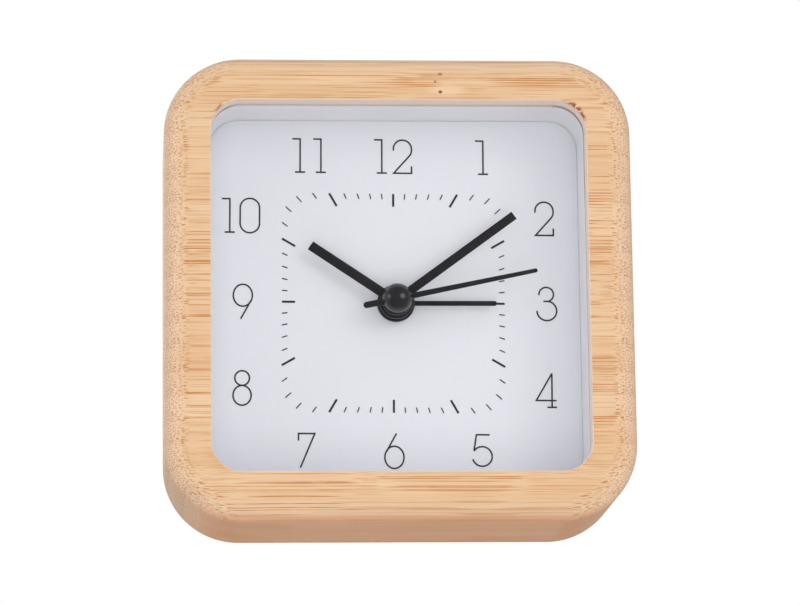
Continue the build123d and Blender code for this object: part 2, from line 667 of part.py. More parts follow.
# Hour numerals: thin plain digits round the track
with BuildPart() as hour_numerals:
    for hour, digits in HOUR_DIGIT_SHARES.items():
        station_x, station_z = numeral_station(hour)
        for digit, offset in digits:
            with BuildSketch(print_plane(PRINT_FRONT_Y)):
                draw_digit(digit, station_x + NUMERAL_HEIGHT * offset, station_z)
            extrude(amount=-PRINT_THICKNESS)
save(hour_numerals, "hour_numerals")


def straight_blade(height, length, width, angle):
    """A hand's flat blade with a square end, from the arbor outwards."""
    blade_front_y = DIAL_FRONT_Y - height - HAND_THICKNESS / 2
    with BuildSketch(arbor_plane(blade_front_y)) as outline:
        Rectangle(width, length, rotation=-angle, align=(Align.CENTER, Align.MIN))
    extrude(outline.sketch, amount=-HAND_THICKNESS)


def tapered_blade(height, length, tip_width, tail, tail_width, angle):
    """A hand's flat blade with round ends, which narrows from its tail to its tip."""
    blade_front_y = DIAL_FRONT_Y - height - HAND_THICKNESS / 2
    across = math.sin(math.radians(angle))
    along = math.cos(math.radians(angle))
    tip_reach = length - tip_width / 2
    tail_reach = tail - tail_width / 2
    with BuildSketch(arbor_plane(blade_front_y)) as outline:
        with Locations((tip_reach * across, tip_reach * along)):
            Circle(tip_width / 2)
        with Locations((-tail_reach * across, -tail_reach * along)):
            Circle(tail_width / 2)
        make_hull()
    extrude(outline.sketch, amount=-HAND_THICKNESS)


# Alarm hand, the lowest and shortest, with a round tip and no tail
with BuildPart() as alarm_hand:
    tapered_blade(
        ALARM_HAND_HEIGHT,
        ALARM_HAND_LENGTH,
        ALARM_HAND_WIDTH,
        ALARM_HAND_WIDTH / 2,
        ALARM_HAND_WIDTH,
        ALARM_HAND_ANGLE,
    )
    hub(ALARM_HAND_HEIGHT, ALARM_HUB_RADIUS, ALARM_TUBE_RADIUS)
save(alarm_hand, "alarm_hand")

# Hour hand
with BuildPart() as hour_hand:
    straight_blade(HOUR_HAND_HEIGHT, HOUR_HAND_LENGTH, HOUR_HAND_WIDTH, HOUR_HAND_ANGLE)
    hub(HOUR_HAND_HEIGHT, HOUR_HUB_RADIUS, HOUR_TUBE_RADIUS)
save(hour_hand, "hour_hand")

# Minute hand
with BuildPart() as minute_hand:
    straight_blade(MINUTE_HAND_HEIGHT, MINUTE_HAND_LENGTH, MINUTE_HAND_WIDTH, MINUTE_HAND_ANGLE)
    hub(MINUTE_HAND_HEIGHT, MINUTE_HUB_RADIUS, MINUTE_TUBE_RADIUS)
save(minute_hand, "minute_hand")

# Second hand, with a tail
with BuildPart() as second_hand:
    tapered_blade(
        SECOND_HAND_HEIGHT,
        SECOND_HAND_LENGTH,
        SECOND_HAND_TIP_WIDTH,
        SECOND_HAND_TAIL,
        SECOND_HAND_TAIL_WIDTH,
        SECOND_HAND_ANGLE,
    )
    hub(SECOND_HAND_HEIGHT, SECOND_HUB_RADIUS, SECOND_ARBOR_RADIUS)
save(second_hand, "second_hand")

# Domed cap over the second hand's hub, with a socket that grips the arbor
CAP_BASE_Y = tube_front(SECOND_HAND_HEIGHT)
CAP_EDGE_Y = CAP_BASE_Y - CAP_SKIRT
with BuildPart() as second_hand_cap:
    with BuildSketch(Plane(origin=(0, 0, ARBOR_Z), x_dir=(1, 0, 0), z_dir=(0, 0, 1))):
        with BuildLine():
            Polyline(
                (0, CAP_EDGE_Y - CAP_DOME),
                (0, CAP_BASE_Y),
                (CAP_RADIUS, CAP_BASE_Y),
                (CAP_RADIUS, CAP_EDGE_Y),
            )
            EllipticalCenterArc((0, CAP_EDGE_Y), CAP_RADIUS, CAP_DOME, start_angle=270, arc_size=90)
        make_face()
    revolve(axis=Axis((0, 0, ARBOR_Z), (0, 1, 0)))
    round_bar(
        CAP_BASE_Y - CAP_SOCKET_DEPTH, CAP_BASE_Y, SECOND_ARBOR_RADIUS, mode=Mode.SUBTRACT
    )
save(second_hand_cap, "second_hand_cap")

# Movement front plate: its post passes through tray and dial and carries the alarm tube
with BuildPart() as movement_front_plate:
    flat_block(
        TRAY_REAR_Y, FRONT_PLATE_REAR_Y, MOVEMENT_WIDTH, MOVEMENT_HEIGHT, MOVEMENT_PLACE
    )
    post_top_z = MOVEMENT_TOP_Z - PLATE_POST_TOP_INSET
    post_foot_z = PARTITION_Z + PLATE_POST_FOOT_INSET
    plate_post_places = grid_places(
        MOVEMENT_WIDTH - 2 * PLATE_POST_SIDE_INSET,
        post_top_z - post_foot_z,
        (0, (post_top_z + post_foot_z) / 2),
    )
    post_front_y = DIAL_FRONT_Y - CENTRE_POST_REACH
    round_bar(post_front_y, FRONT_PLATE_REAR_Y, CENTRE_POST_RADIUS)
    round_bar(FRONT_PLATE_REAR_Y, CENTRE_PLATE_Y, PLATE_POST_RADIUS, plate_post_places)
    round_bar(post_front_y, FRONT_PLATE_REAR_Y, CENTRE_POST_BORE, mode=Mode.SUBTRACT)
    round_bar(
        TRAY_REAR_Y,
        FRONT_PLATE_REAR_Y,
        SETTING_PIVOT_RADIUS + RUNNING_CLEARANCE,
        [SETTING_PLACE, ALARM_SETTING_PLACE],
        Mode.SUBTRACT,
    )
save(movement_front_plate, "movement_front_plate")

# Centre plate: bearings for the train, and stands for the board, the stator and the contact leaf
BOARD_X = (COMPARTMENT_LENGTH - BOARD_WIDTH) / 2 - BOARD_MARGIN
BOARD_PLACE = (BOARD_X, BOARD_CENTRE_Z)
BOARD_Y = CENTRE_PLATE_REAR_Y + BOARD_STANDOFF
LEAF_Y = HOUR_WHEEL_Y + SETTING_WHEEL_THICKNESS + LEAF_GAP
CORE_POST_PLACES = [
    (side * (STATOR_HALF_SPAN - STATOR_LIMB_WIDTH / 2), COIL_Z) for side in (-1, 1)
]
with BuildPart() as movement_centre_plate:
    plate_bottom_z = PARTITION_Z + LAYER_GAP
    plate_top_z = MOVEMENT_TOP_Z - CENTRE_PLATE_MARGIN
    flat_block(
        CENTRE_PLATE_Y,
        CENTRE_PLATE_REAR_Y,
        MOVEMENT_WIDTH - 2 * CENTRE_PLATE_MARGIN,
        plate_top_z - plate_bottom_z,
        (0, (plate_top_z + plate_bottom_z) / 2),
    )
    board_post_places = grid_places(
        BOARD_WIDTH - 2 * BOARD_POST_INSET, BOARD_HEIGHT - 2 * BOARD_POST_INSET, BOARD_PLACE
    )
    round_bar(CENTRE_PLATE_REAR_Y, BOARD_Y, BOARD_POST_RADIUS, board_post_places)
    round_bar(CENTRE_PLATE_REAR_Y, STATOR_Y, CORE_POST_RADIUS, CORE_POST_PLACES)
    round_bar(
        LEAF_Y + LEAF_THICKNESS, CENTRE_PLATE_Y, LEAF_WIDTH / 2, (LEAF_OUTER_X + LEAF_WIDTH / 2, LEAF_Z)
    )
    for bearing_radius, bearing_place in (
        (MINUTE_TUBE_RADIUS, CENTRE),
        (THIRD_ARBOR_RADIUS, THIRD_PLACE),
        (INTERMEDIATE_ARBOR_RADIUS, INTERMEDIATE_PLACE),
        (ROTOR_ARBOR_RADIUS, ROTOR_PLACE),
        (SETTING_SHAFT_RADIUS, SETTING_PLACE),
        (SETTING_SHAFT_RADIUS, ALARM_SETTING_PLACE),
    ):
        round_bar(
            CENTRE_PLATE_Y,
            CENTRE_PLATE_REAR_Y,
            bearing_radius + RUNNING_CLEARANCE,
            bearing_place,
            Mode.SUBTRACT,
        )
save(movement_centre_plate, "movement_centre_plate")

# Rear bearings in the housing: front face of each boss, arbor radius and place
REAR_BEARINGS = [
    (SECOND_WHEEL_Y + WHEEL_THICKNESS + LAYER_GAP / 2, THIRD_ARBOR_RADIUS, THIRD_PLACE),
    (SECOND_WHEEL_Y + WHEEL_THICKNESS + LAYER_GAP / 2, SECOND_ARBOR_RADIUS, CENTRE),
    (CORE_Y + LAYER_GAP / 2, INTERMEDIATE_ARBOR_RADIUS, INTERMEDIATE_PLACE),
    (MAGNET_Y + ROTOR_MAGNET_THICKNESS + LAYER_GAP / 2, ROTOR_ARBOR_RADIUS, ROTOR_PLACE),
]

# Movement housing: walls, battery compartment, rear bearings and the ears that hold it down
with BuildPart() as movement_housing:
    flat_block(
        FRONT_PLATE_REAR_Y, HOUSING_REAR_Y, MOVEMENT_WIDTH, MOVEMENT_HEIGHT, MOVEMENT_PLACE
    )
    works_height = MOVEMENT_TOP_Z - HOUSING_WALL - PARTITION_Z
    flat_block(
        FRONT_PLATE_REAR_Y,
        HOUSING_INNER_Y,
        COMPARTMENT_LENGTH,
        works_height,
        (0, PARTITION_Z + works_height / 2),
        Mode.SUBTRACT,
    )
    flat_block(
        FRONT_PLATE_REAR_Y,
        HOUSING_REAR_Y,
        COMPARTMENT_LENGTH,
        COMPARTMENT_HEIGHT,
        (0, BATTERY_Z),
        Mode.SUBTRACT,
    )
    round_bar(CENTRE_PLATE_REAR_Y, HOUSING_INNER_Y, PLATE_POST_RADIUS, plate_post_places)
    round_bar(CORE_REAR_Y, HOUSING_INNER_Y, CORE_POST_RADIUS, CORE_POST_PLACES)
    for boss_y, arbor_radius, boss_place in REAR_BEARINGS:
        round_bar(boss_y, HOUSING_INNER_Y, BEARING_BOSS_RADIUS, boss_place)
        round_bar(
            boss_y,
            boss_y + BEARING_DEPTH + LAYER_GAP,
            arbor_radius + RUNNING_CLEARANCE,
            boss_place,
            Mode.SUBTRACT,
        )
    round_bar(
        HOUSING_INNER_Y,
        HOUSING_REAR_Y,
        SETTING_SHAFT_RADIUS + RUNNING_CLEARANCE,
        [SETTING_PLACE, ALARM_SETTING_PLACE],
        Mode.SUBTRACT,
    )
    with BuildSketch(arbor_plane(EAR_Y)):
        for side in (-1, 1):
            ear_x = side * EAR_SCREW_X
            with Locations(*[(ear_x, place[1]) for place in ear_places[:2]]):
                Rectangle(EAR_LENGTH, EAR_WIDTH)
    extrude(amount=-EAR_THICKNESS)
    round_bar(
        EAR_Y, EAR_SCREW_SEAT_Y, EAR_SCREW_RADIUS + SCREW_HOLE_CLEARANCE, ear_places, Mode.SUBTRACT
    )
save(movement_housing, "movement_housing")


def arbor_rear(place):
    """The rear end of the arbor that runs in the housing's bearing at a place."""
    for boss_y, _, boss_place in REAR_BEARINGS:
        if boss_place == place:
            return boss_y + BEARING_DEPTH
    raise ValueError(f"no rear bearing at {place}")


# Alarm wheel and its tube
alarm_module = gear_module(ALARM_SETTING_DISTANCE, ALARM_WHEEL_TEETH, ALARM_PINION_TEETH)
with BuildPart() as alarm_wheel:
    wheel(ALARM_WHEEL_Y, SETTING_WHEEL_THICKNESS, CENTRE, ALARM_WHEEL_TEETH, alarm_module, 180)
    round_bar(tube_front(ALARM_HAND_HEIGHT), ALARM_WHEEL_Y, ALARM_TUBE_RADIUS)
    round_bar(
        tube_front(ALARM_HAND_HEIGHT),
        ALARM_WHEEL_Y + SETTING_WHEEL_THICKNESS,
        ALARM_TUBE_BORE,
        mode=Mode.SUBTRACT,
    )
save(alarm_wheel, "alarm_wheel")

# Hour wheel and its tube
hour_module = gear_module(SETTING_DISTANCE, HOUR_WHEEL_TEETH, SETTING_PINION_TEETH)
with BuildPart() as hour_wheel:
    wheel(HOUR_WHEEL_Y, SETTING_WHEEL_THICKNESS, CENTRE, HOUR_WHEEL_TEETH, hour_module, 0)
    round_bar(tube_front(HOUR_HAND_HEIGHT), HOUR_WHEEL_Y, HOUR_TUBE_RADIUS)
    round_bar(
        tube_front(HOUR_HAND_HEIGHT),
        HOUR_WHEEL_Y + SETTING_WHEEL_THICKNESS,
        HOUR_TUBE_BORE,
        mode=Mode.SUBTRACT,
    )
save(hour_wheel, "hour_wheel")

# Cannon pinion and the minute tube, which runs back through the centre wheel
cannon_module = gear_module(SETTING_DISTANCE, SETTING_WHEEL_TEETH, CANNON_PINION_TEETH)
minute_tube_rear_y = CENTRE_WHEEL_Y + WHEEL_THICKNESS + LAYER_GAP / 4
with BuildPart() as cannon_pinion:
    pinion(SETTING_WHEEL_Y, SETTING_WHEEL_THICKNESS, CENTRE, CANNON_PINION_TEETH, cannon_module, 0)
    round_bar(tube_front(MINUTE_HAND_HEIGHT), minute_tube_rear_y, MINUTE_TUBE_RADIUS)
    round_bar(
        tube_front(MINUTE_HAND_HEIGHT), minute_tube_rear_y, MINUTE_TUBE_BORE, mode=Mode.SUBTRACT
    )
save(cannon_pinion, "cannon_pinion")

# Setting wheel: the step between the minute and hour tubes, on the time knob's shaft
setting_wheel_rear_y = SETTING_WHEEL_Y + SETTING_WHEEL_THICKNESS
with BuildPart() as setting_wheel:
    wheel(
        SETTING_WHEEL_Y, SETTING_WHEEL_THICKNESS, SETTING_PLACE, SETTING_WHEEL_TEETH, cannon_module, 180
    )
    pinion(
        HOUR_WHEEL_Y - PINION_OVERHANG,
        SETTING_WHEEL_Y - HOUR_WHEEL_Y + PINION_OVERHANG,
        SETTING_PLACE,
        SETTING_PINION_TEETH,
        hour_module,
        180,
    )
    round_bar(
        TRAY_REAR_Y, setting_wheel_rear_y + SETTING_PIVOT_GRIP, SETTING_PIVOT_RADIUS, SETTING_PLACE
    )
save(setting_wheel, "setting_wheel")

# Alarm pinion, on the alarm knob's shaft
alarm_pinion_rear_y = ALARM_WHEEL_Y + SETTING_WHEEL_THICKNESS + PINION_OVERHANG
with BuildPart() as alarm_pinion:
    pinion(
        ALARM_WHEEL_Y - PINION_OVERHANG,
        SETTING_WHEEL_THICKNESS + 2 * PINION_OVERHANG,
        ALARM_SETTING_PLACE,
        ALARM_PINION_TEETH,
        alarm_module,
        0,
    )
    round_bar(
        TRAY_REAR_Y, alarm_pinion_rear_y + SETTING_PIVOT_GRIP, SETTING_PIVOT_RADIUS, ALARM_SETTING_PLACE
    )
save(alarm_pinion, "alarm_pinion")


def setting_knob(shaft_front_y, place):
    """A fluted knob behind the rear cover, with a shaft that grips a wheel's pivot."""
    round_bar(KNOB_Y, KNOB_Y + KNOB_THICKNESS, KNOB_RADIUS, place)
    flute_places = [
        (
            place[0] + KNOB_RADIUS * math.cos(2 * math.pi * flute / KNOB_FLUTES),
            place[1] + KNOB_RADIUS * math.sin(2 * math.pi * flute / KNOB_FLUTES),
        )
        for flute in range(KNOB_FLUTES)
    ]
    round_bar(KNOB_Y, KNOB_Y + KNOB_THICKNESS, KNOB_FLUTE_RADIUS, flute_places, Mode.SUBTRACT)
    round_bar(
        KNOB_Y + KNOB_THICKNESS - KNOB_DISH_DEPTH,
        KNOB_Y + KNOB_THICKNESS,
        KNOB_DISH_RADIUS,
        place,
        Mode.SUBTRACT,
    )
    round_bar(shaft_front_y, KNOB_Y, SETTING_SHAFT_RADIUS, place)
    round_bar(
        shaft_front_y, shaft_front_y + SETTING_PIVOT_GRIP, SETTING_PIVOT_RADIUS, place, Mode.SUBTRACT
    )


# Time setting knob
with BuildPart() as time_set_knob:
    setting_knob(setting_wheel_rear_y, SETTING_PLACE)
save(time_set_knob, "time_set_knob")

# Alarm setting knob
with BuildPart() as alarm_set_knob:
    setting_knob(alarm_pinion_rear_y, ALARM_SETTING_PLACE)
save(alarm_set_knob, "alarm_set_knob")

# Centre wheel, which slips on the minute tube when the hands are set
centre_module = gear_module(THIRD_DISTANCE, CENTRE_WHEEL_TEETH, TRAIN_PINION_TEETH)
with BuildPart() as centre_wheel:
    wheel(CENTRE_WHEEL_Y, WHEEL_THICKNESS, CENTRE, CENTRE_WHEEL_TEETH, centre_module, 270)
    round_bar(
        CENTRE_WHEEL_Y,
        CENTRE_WHEEL_Y + WHEEL_THICKNESS,
        MINUTE_TUBE_RADIUS + RUNNING_CLEARANCE,
        mode=Mode.SUBTRACT,
    )
save(centre_wheel, "centre_wheel")

# Third wheel with its pinion and arbor
third_module = gear_module(THIRD_DISTANCE, THIRD_WHEEL_TEETH, TRAIN_PINION_TEETH)
with BuildPart() as third_wheel:
    wheel(THIRD_WHEEL_Y, WHEEL_THICKNESS, THIRD_PLACE, THIRD_WHEEL_TEETH, third_module, 90)
    pinion(
        CENTRE_WHEEL_Y - PINION_OVERHANG,
        THIRD_WHEEL_Y - CENTRE_WHEEL_Y + PINION_OVERHANG,
        THIRD_PLACE,
        TRAIN_PINION_TEETH,
        centre_module,
        90,
    )
    round_bar(CENTRE_PLATE_Y, arbor_rear(THIRD_PLACE), THIRD_ARBOR_RADIUS, THIRD_PLACE)
save(third_wheel, "third_wheel")

# Second wheel with its pinion and the arbor that carries the second hand
second_module = gear_module(INTERMEDIATE_DISTANCE, SECOND_WHEEL_TEETH, TRAIN_PINION_TEETH)
with BuildPart() as second_wheel:
    wheel(SECOND_WHEEL_Y, WHEEL_THICKNESS, CENTRE, SECOND_WHEEL_TEETH, second_module, 90)
    pinion(
        THIRD_WHEEL_Y - PINION_OVERHANG,
        SECOND_WHEEL_Y - THIRD_WHEEL_Y + PINION_OVERHANG,
        CENTRE,
        TRAIN_PINION_TEETH,
        third_module,
        270,
    )
    round_bar(CAP_BASE_Y - CAP_SOCKET_DEPTH, arbor_rear(CENTRE), SECOND_ARBOR_RADIUS)
save(second_wheel, "second_wheel")

# Intermediate wheel with its pinion and arbor
rotor_module = gear_module(ROTOR_DISTANCE, INTERMEDIATE_WHEEL_TEETH, TRAIN_PINION_TEETH)
with BuildPart() as intermediate_wheel:
    wheel(
        INTERMEDIATE_WHEEL_Y,
        WHEEL_THICKNESS,
        INTERMEDIATE_PLACE,
        INTERMEDIATE_WHEEL_TEETH,
        rotor_module,
        90,
    )
    pinion(
        SECOND_WHEEL_Y - PINION_OVERHANG,
        INTERMEDIATE_WHEEL_Y - SECOND_WHEEL_Y + PINION_OVERHANG,
        INTERMEDIATE_PLACE,
        TRAIN_PINION_TEETH,
        second_module,
        270,
    )
    round_bar(
        CENTRE_PLATE_Y, arbor_rear(INTERMEDIATE_PLACE), INTERMEDIATE_ARBOR_RADIUS, INTERMEDIATE_PLACE
    )
save(intermediate_wheel, "intermediate_wheel")

# Motor rotor: a disc magnet and a pinion on one arbor
with BuildPart() as motor_rotor:
    pinion(
        INTERMEDIATE_WHEEL_Y - PINION_OVERHANG,
        MAGNET_Y - INTERMEDIATE_WHEEL_Y + PINION_OVERHANG,
        ROTOR_PLACE,
        TRAIN_PINION_TEETH,
        rotor_module,
        270,
    )
    round_bar(MAGNET_Y, MAGNET_Y + ROTOR_MAGNET_THICKNESS, ROTOR_MAGNET_RADIUS, ROTOR_PLACE)
    round_bar(CENTRE_PLATE_Y, arbor_rear(ROTOR_PLACE), ROTOR_ARBOR_RADIUS, ROTOR_PLACE)
save(motor_rotor, "motor_rotor")

# Stator plate: a ring round the rotor, and two limbs up to the coil's core
stator_hole_radius = ROTOR_MAGNET_RADIUS + ROTOR_GAP
with BuildPart() as motor_stator:
    limb_height = COIL_Z + CORE_WIDTH - ROTOR_PLACE[1] + STATOR_WAIST / 2
    with BuildSketch(arbor_plane(STATOR_Y)):
        with Locations(ROTOR_PLACE):
            Rectangle(2 * STATOR_HALF_SPAN, STATOR_WAIST)
            Circle(stator_hole_radius + STATOR_RING_WALL)
        for side in (-1, 1):
            limb_x = side * (STATOR_HALF_SPAN - STATOR_LIMB_WIDTH / 2)
            limb_z = ROTOR_PLACE[1] - STATOR_WAIST / 2 + limb_height / 2
            with Locations((limb_x, limb_z)):
                Rectangle(STATOR_LIMB_WIDTH, limb_height)
        with Locations(ROTOR_PLACE):
            Circle(stator_hole_radius, mode=Mode.SUBTRACT)
    extrude(amount=-STATOR_THICKNESS)
save(motor_stator, "motor_stator")

# Coil core: a bar across the back of the stator's limbs
with BuildPart() as coil_core:
    flat_block(CORE_Y, CORE_REAR_Y, 2 * STATOR_HALF_SPAN, CORE_WIDTH, (0, COIL_Z))
save(coil_core, "coil_core")


def coil_plane(x):
    """A plane across the coil at a distance to the right of the arbor."""
    return Plane(origin=(x, COIL_Y, ARBOR_Z + COIL_Z), x_dir=(0, 1, 0), z_dir=(1, 0, 0))


# Coil bobbin: a tube with a flange at each end, slid over the core
with BuildPart() as coil_bobbin:
    with BuildSketch(coil_plane(-BOBBIN_LENGTH / 2)):
        Circle(BOBBIN_TUBE_RADIUS)
    extrude(amount=BOBBIN_LENGTH)
    for flange_x in (-BOBBIN_LENGTH / 2, BOBBIN_LENGTH / 2 - BOBBIN_FLANGE_THICKNESS):
        with BuildSketch(coil_plane(flange_x)):
            Circle(BOBBIN_FLANGE_RADIUS)
        extrude(amount=BOBBIN_FLANGE_THICKNESS)
    with BuildSketch(coil_plane(-BOBBIN_LENGTH / 2)):
        Rectangle(CORE_THICKNESS, CORE_WIDTH)
    extrude(amount=BOBBIN_LENGTH, mode=Mode.SUBTRACT)
save(coil_bobbin, "coil_bobbin")

# Copper winding between the flanges, as one sleeve
with BuildPart() as coil_winding:
    winding_length = BOBBIN_LENGTH - 2 * BOBBIN_FLANGE_THICKNESS
    with BuildSketch(coil_plane(-winding_length / 2)):
        Circle(WINDING_RADIUS)
        Circle(BOBBIN_TUBE_RADIUS, mode=Mode.SUBTRACT)
    extrude(amount=winding_length)
save(coil_winding, "coil_winding")

# Circuit board on the centre plate's posts
BOARD_REAR_Y = BOARD_Y + BOARD_THICKNESS
with BuildPart() as circuit_board:
    flat_block(BOARD_Y, BOARD_REAR_Y, BOARD_WIDTH, BOARD_HEIGHT, BOARD_PLACE)
save(circuit_board, "circuit_board")

# Control chip under its drop of resin
with BuildPart() as control_chip:
    chip_place = (BOARD_X, BOARD_CENTRE_Z - CHIP_DROP)
    round_bar(BOARD_REAR_Y, BOARD_REAR_Y + CHIP_HEIGHT, CHIP_RADIUS, chip_place)
    fillet(control_chip.faces().sort_by(Axis.Y)[-1].edges(), CHIP_ROUNDING)
save(control_chip, "control_chip")

# Quartz crystal in its round can, lying on the board
with BuildPart() as quartz_crystal:
    crystal_origin = (
        BOARD_X,
        BOARD_REAR_Y + CRYSTAL_RADIUS,
        ARBOR_Z + BOARD_CENTRE_Z + CRYSTAL_RISE - CRYSTAL_LENGTH / 2,
    )
    with BuildSketch(Plane(origin=crystal_origin, x_dir=(1, 0, 0), z_dir=(0, 0, 1))):
        Circle(CRYSTAL_RADIUS)
    extrude(amount=CRYSTAL_LENGTH)
save(quartz_crystal, "quartz_crystal")

# Contact leaf: a brass strip close behind the hour wheel, which closes the alarm's circuit
with BuildPart() as alarm_contact_leaf:
    flat_block(
        LEAF_Y,
        LEAF_Y + LEAF_THICKNESS,
        LEAF_LENGTH,
        LEAF_WIDTH,
        (LEAF_OUTER_X + LEAF_LENGTH / 2, LEAF_Z),
    )
save(alarm_contact_leaf, "alarm_contact_leaf")

# Battery, an AA cell lying across the foot of the movement
NUB_TIP_X = COMPARTMENT_LENGTH / 2 - CONTACT_THICKNESS
BATTERY_RIGHT_X = NUB_TIP_X - BATTERY_NUB_LENGTH
BATTERY_LEFT_X = BATTERY_RIGHT_X - BATTERY_CAN_LENGTH


def battery_plane(x):
    """A plane across the battery at a distance to the right of the arbor."""
    return Plane(origin=(x, BATTERY_Y, ARBOR_Z + BATTERY_Z), x_dir=(0, 1, 0), z_dir=(1, 0, 0))


with BuildPart() as battery:
    with BuildSketch(battery_plane(BATTERY_LEFT_X)):
        Circle(BATTERY_RADIUS)
    extrude(amount=BATTERY_CAN_LENGTH)
    with BuildSketch(battery_plane(BATTERY_RIGHT_X)):
        Circle(BATTERY_NUB_RADIUS)
    extrude(amount=BATTERY_NUB_LENGTH)
save(battery, "battery")

# Battery contacts: a flat plate at the nub, and a plate with a sprung cup at the other end
with BuildPart() as battery_contact_positive:
    with BuildSketch(battery_plane(NUB_TIP_X)):
        Rectangle(CONTACT_SIZE, CONTACT_SIZE)
    extrude(amount=CONTACT_THICKNESS)
save(battery_contact_positive, "battery_contact_positive")

with BuildPart() as battery_contact_negative:
    wall_x = -COMPARTMENT_LENGTH / 2
    plate_x = wall_x + CONTACT_THICKNESS
    with BuildSketch(battery_plane(wall_x)):
        Rectangle(CONTACT_SIZE, CONTACT_SIZE)
    extrude(amount=CONTACT_THICKNESS)
    with BuildSketch(battery_plane(plate_x)):
        Circle(CONTACT_CUP_RADIUS)
    with BuildSketch(battery_plane(BATTERY_LEFT_X)):
        Circle(CONTACT_CUP_RADIUS / 2)
    loft()
save(battery_contact_negative, "battery_contact_negative")

# Rear cover: seated in the case's rebate, with holes for knobs, switch, screws and sound
DOOR_PLACE = (0, BATTERY_Z)
DOOR_WIDTH = COMPARTMENT_LENGTH + 2 * DOOR_LEDGE
DOOR_HEIGHT = COMPARTMENT_HEIGHT + 2 * DOOR_LEDGE
DOOR_POCKET_Y = COVER_REAR_Y - DOOR_THICKNESS
with BuildPart() as rear_cover:
    rounded_block(
        case_plane, COVER_FRONT_Y, COVER_REAR_Y, COVER_SIDE, REBATE_CORNER_RADIUS - COVER_CLEARANCE
    )
    flat_block(
        DOOR_POCKET_Y,
        COVER_REAR_Y,
        DOOR_WIDTH + 2 * DOOR_CLEARANCE,
        DOOR_HEIGHT + 2 * DOOR_CLEARANCE,
        DOOR_PLACE,
        Mode.SUBTRACT,
    )
    flat_block(
        COVER_FRONT_Y,
        COVER_REAR_Y,
        COMPARTMENT_LENGTH,
        COMPARTMENT_HEIGHT,
        DOOR_PLACE,
        Mode.SUBTRACT,
    )
    round_bar(
        COVER_FRONT_Y,
        COVER_REAR_Y,
        SETTING_SHAFT_RADIUS + RUNNING_CLEARANCE,
        [SETTING_PLACE, ALARM_SETTING_PLACE],
        Mode.SUBTRACT,
    )
    round_bar(
        COVER_FRONT_Y,
        COVER_REAR_Y,
        COVER_SCREW_RADIUS + SCREW_HOLE_CLEARANCE,
        cover_post_places,
        Mode.SUBTRACT,
    )
    round_bar(
        COVER_SCREW_SEAT_Y,
        COVER_REAR_Y,
        SCREW_HEAD_RADIUS + SCREW_HEAD_CLEARANCE,
        cover_post_places,
        Mode.SUBTRACT,
    )
    flat_block(
        COVER_FRONT_Y,
        COVER_REAR_Y,
        SLIDER_STEM_LENGTH + SWITCH_TRAVEL + 2 * SWITCH_CLEARANCE,
        SLIDER_STEM_WIDTH + 2 * SWITCH_CLEARANCE,
        SWITCH_PLACE,
        Mode.SUBTRACT,
    )
    sound_hole_places = [
        (
            BUZZER_X + ring * SOUND_HOLE_PITCH * math.cos(math.pi * hole / (3 * max(ring, 1))),
            HEADROOM_MIDDLE_Z + ring * SOUND_HOLE_PITCH * math.sin(math.pi * hole / (3 * max(ring, 1))),
        )
        for ring in range(3)
        for hole in range(6 * ring or 1)
    ]
    round_bar(
        COVER_FRONT_Y, COVER_REAR_Y, SOUND_HOLE_RADIUS, sound_hole_places, Mode.SUBTRACT
    )
save(rear_cover, "rear_cover")

# Battery door, flush in the cover's pocket, with three grip ridges cut in it
with BuildPart() as battery_door:
    flat_block(DOOR_POCKET_Y, COVER_REAR_Y, DOOR_WIDTH, DOOR_HEIGHT, DOOR_PLACE)
    with BuildSketch(arbor_plane(COVER_REAR_Y - DOOR_RIDGE_DEPTH)):
        with Locations(*[(0, BATTERY_Z + step * DOOR_RIDGE_PITCH) for step in (-1, 0, 1)]):
            Rectangle(DOOR_RIDGE_LENGTH, DOOR_RIDGE_WIDTH)
    extrude(amount=-DOOR_RIDGE_DEPTH, mode=Mode.SUBTRACT)
save(battery_door, "battery_door")


def cross_screw(seat_y, tip_y, radius, places):
    """Pan-head screws with a cross in each head, all turned alike."""
    head_rear_y = seat_y + SCREW_HEAD_HEIGHT
    round_bar(tip_y, seat_y, radius, places)
    round_bar(seat_y, head_rear_y, SCREW_HEAD_RADIUS, places)
    slot_length = SCREW_HEAD_RADIUS + radius / 2
    with BuildSketch(arbor_plane(head_rear_y - SCREW_SLOT_DEPTH)) as cross:
        with Locations(*places):
            Rectangle(slot_length, SCREW_SLOT_WIDTH)
            Rectangle(SCREW_SLOT_WIDTH, slot_length)
    extrude(cross.sketch, amount=-SCREW_SLOT_DEPTH, mode=Mode.SUBTRACT)


# Screws through the rear cover into the tray's posts
with BuildPart() as cover_screws:
    cross_screw(COVER_SCREW_SEAT_Y, COVER_SCREW_TIP_Y, COVER_SCREW_RADIUS, cover_post_places)
save(cover_screws, "cover_screws")

# Screws through the housing's ears into the tray's bosses
with BuildPart() as movement_screws:
    cross_screw(EAR_SCREW_SEAT_Y, EAR_SCREW_TIP_Y, EAR_SCREW_RADIUS, ear_places)
save(movement_screws, "movement_screws")

# Buzzer on the tray's floor, behind the sound holes
with BuildPart() as buzzer:
    round_bar(TRAY_REAR_Y, TRAY_REAR_Y + BUZZER_HEIGHT, BUZZER_RADIUS, BUZZER_PLACE)
    round_bar(
        TRAY_REAR_Y + BUZZER_HEIGHT - BUZZER_PORT_DEPTH,
        TRAY_REAR_Y + BUZZER_HEIGHT,
        BUZZER_PORT_RADIUS,
        BUZZER_PLACE,
        Mode.SUBTRACT,
    )
save(buzzer, "buzzer")

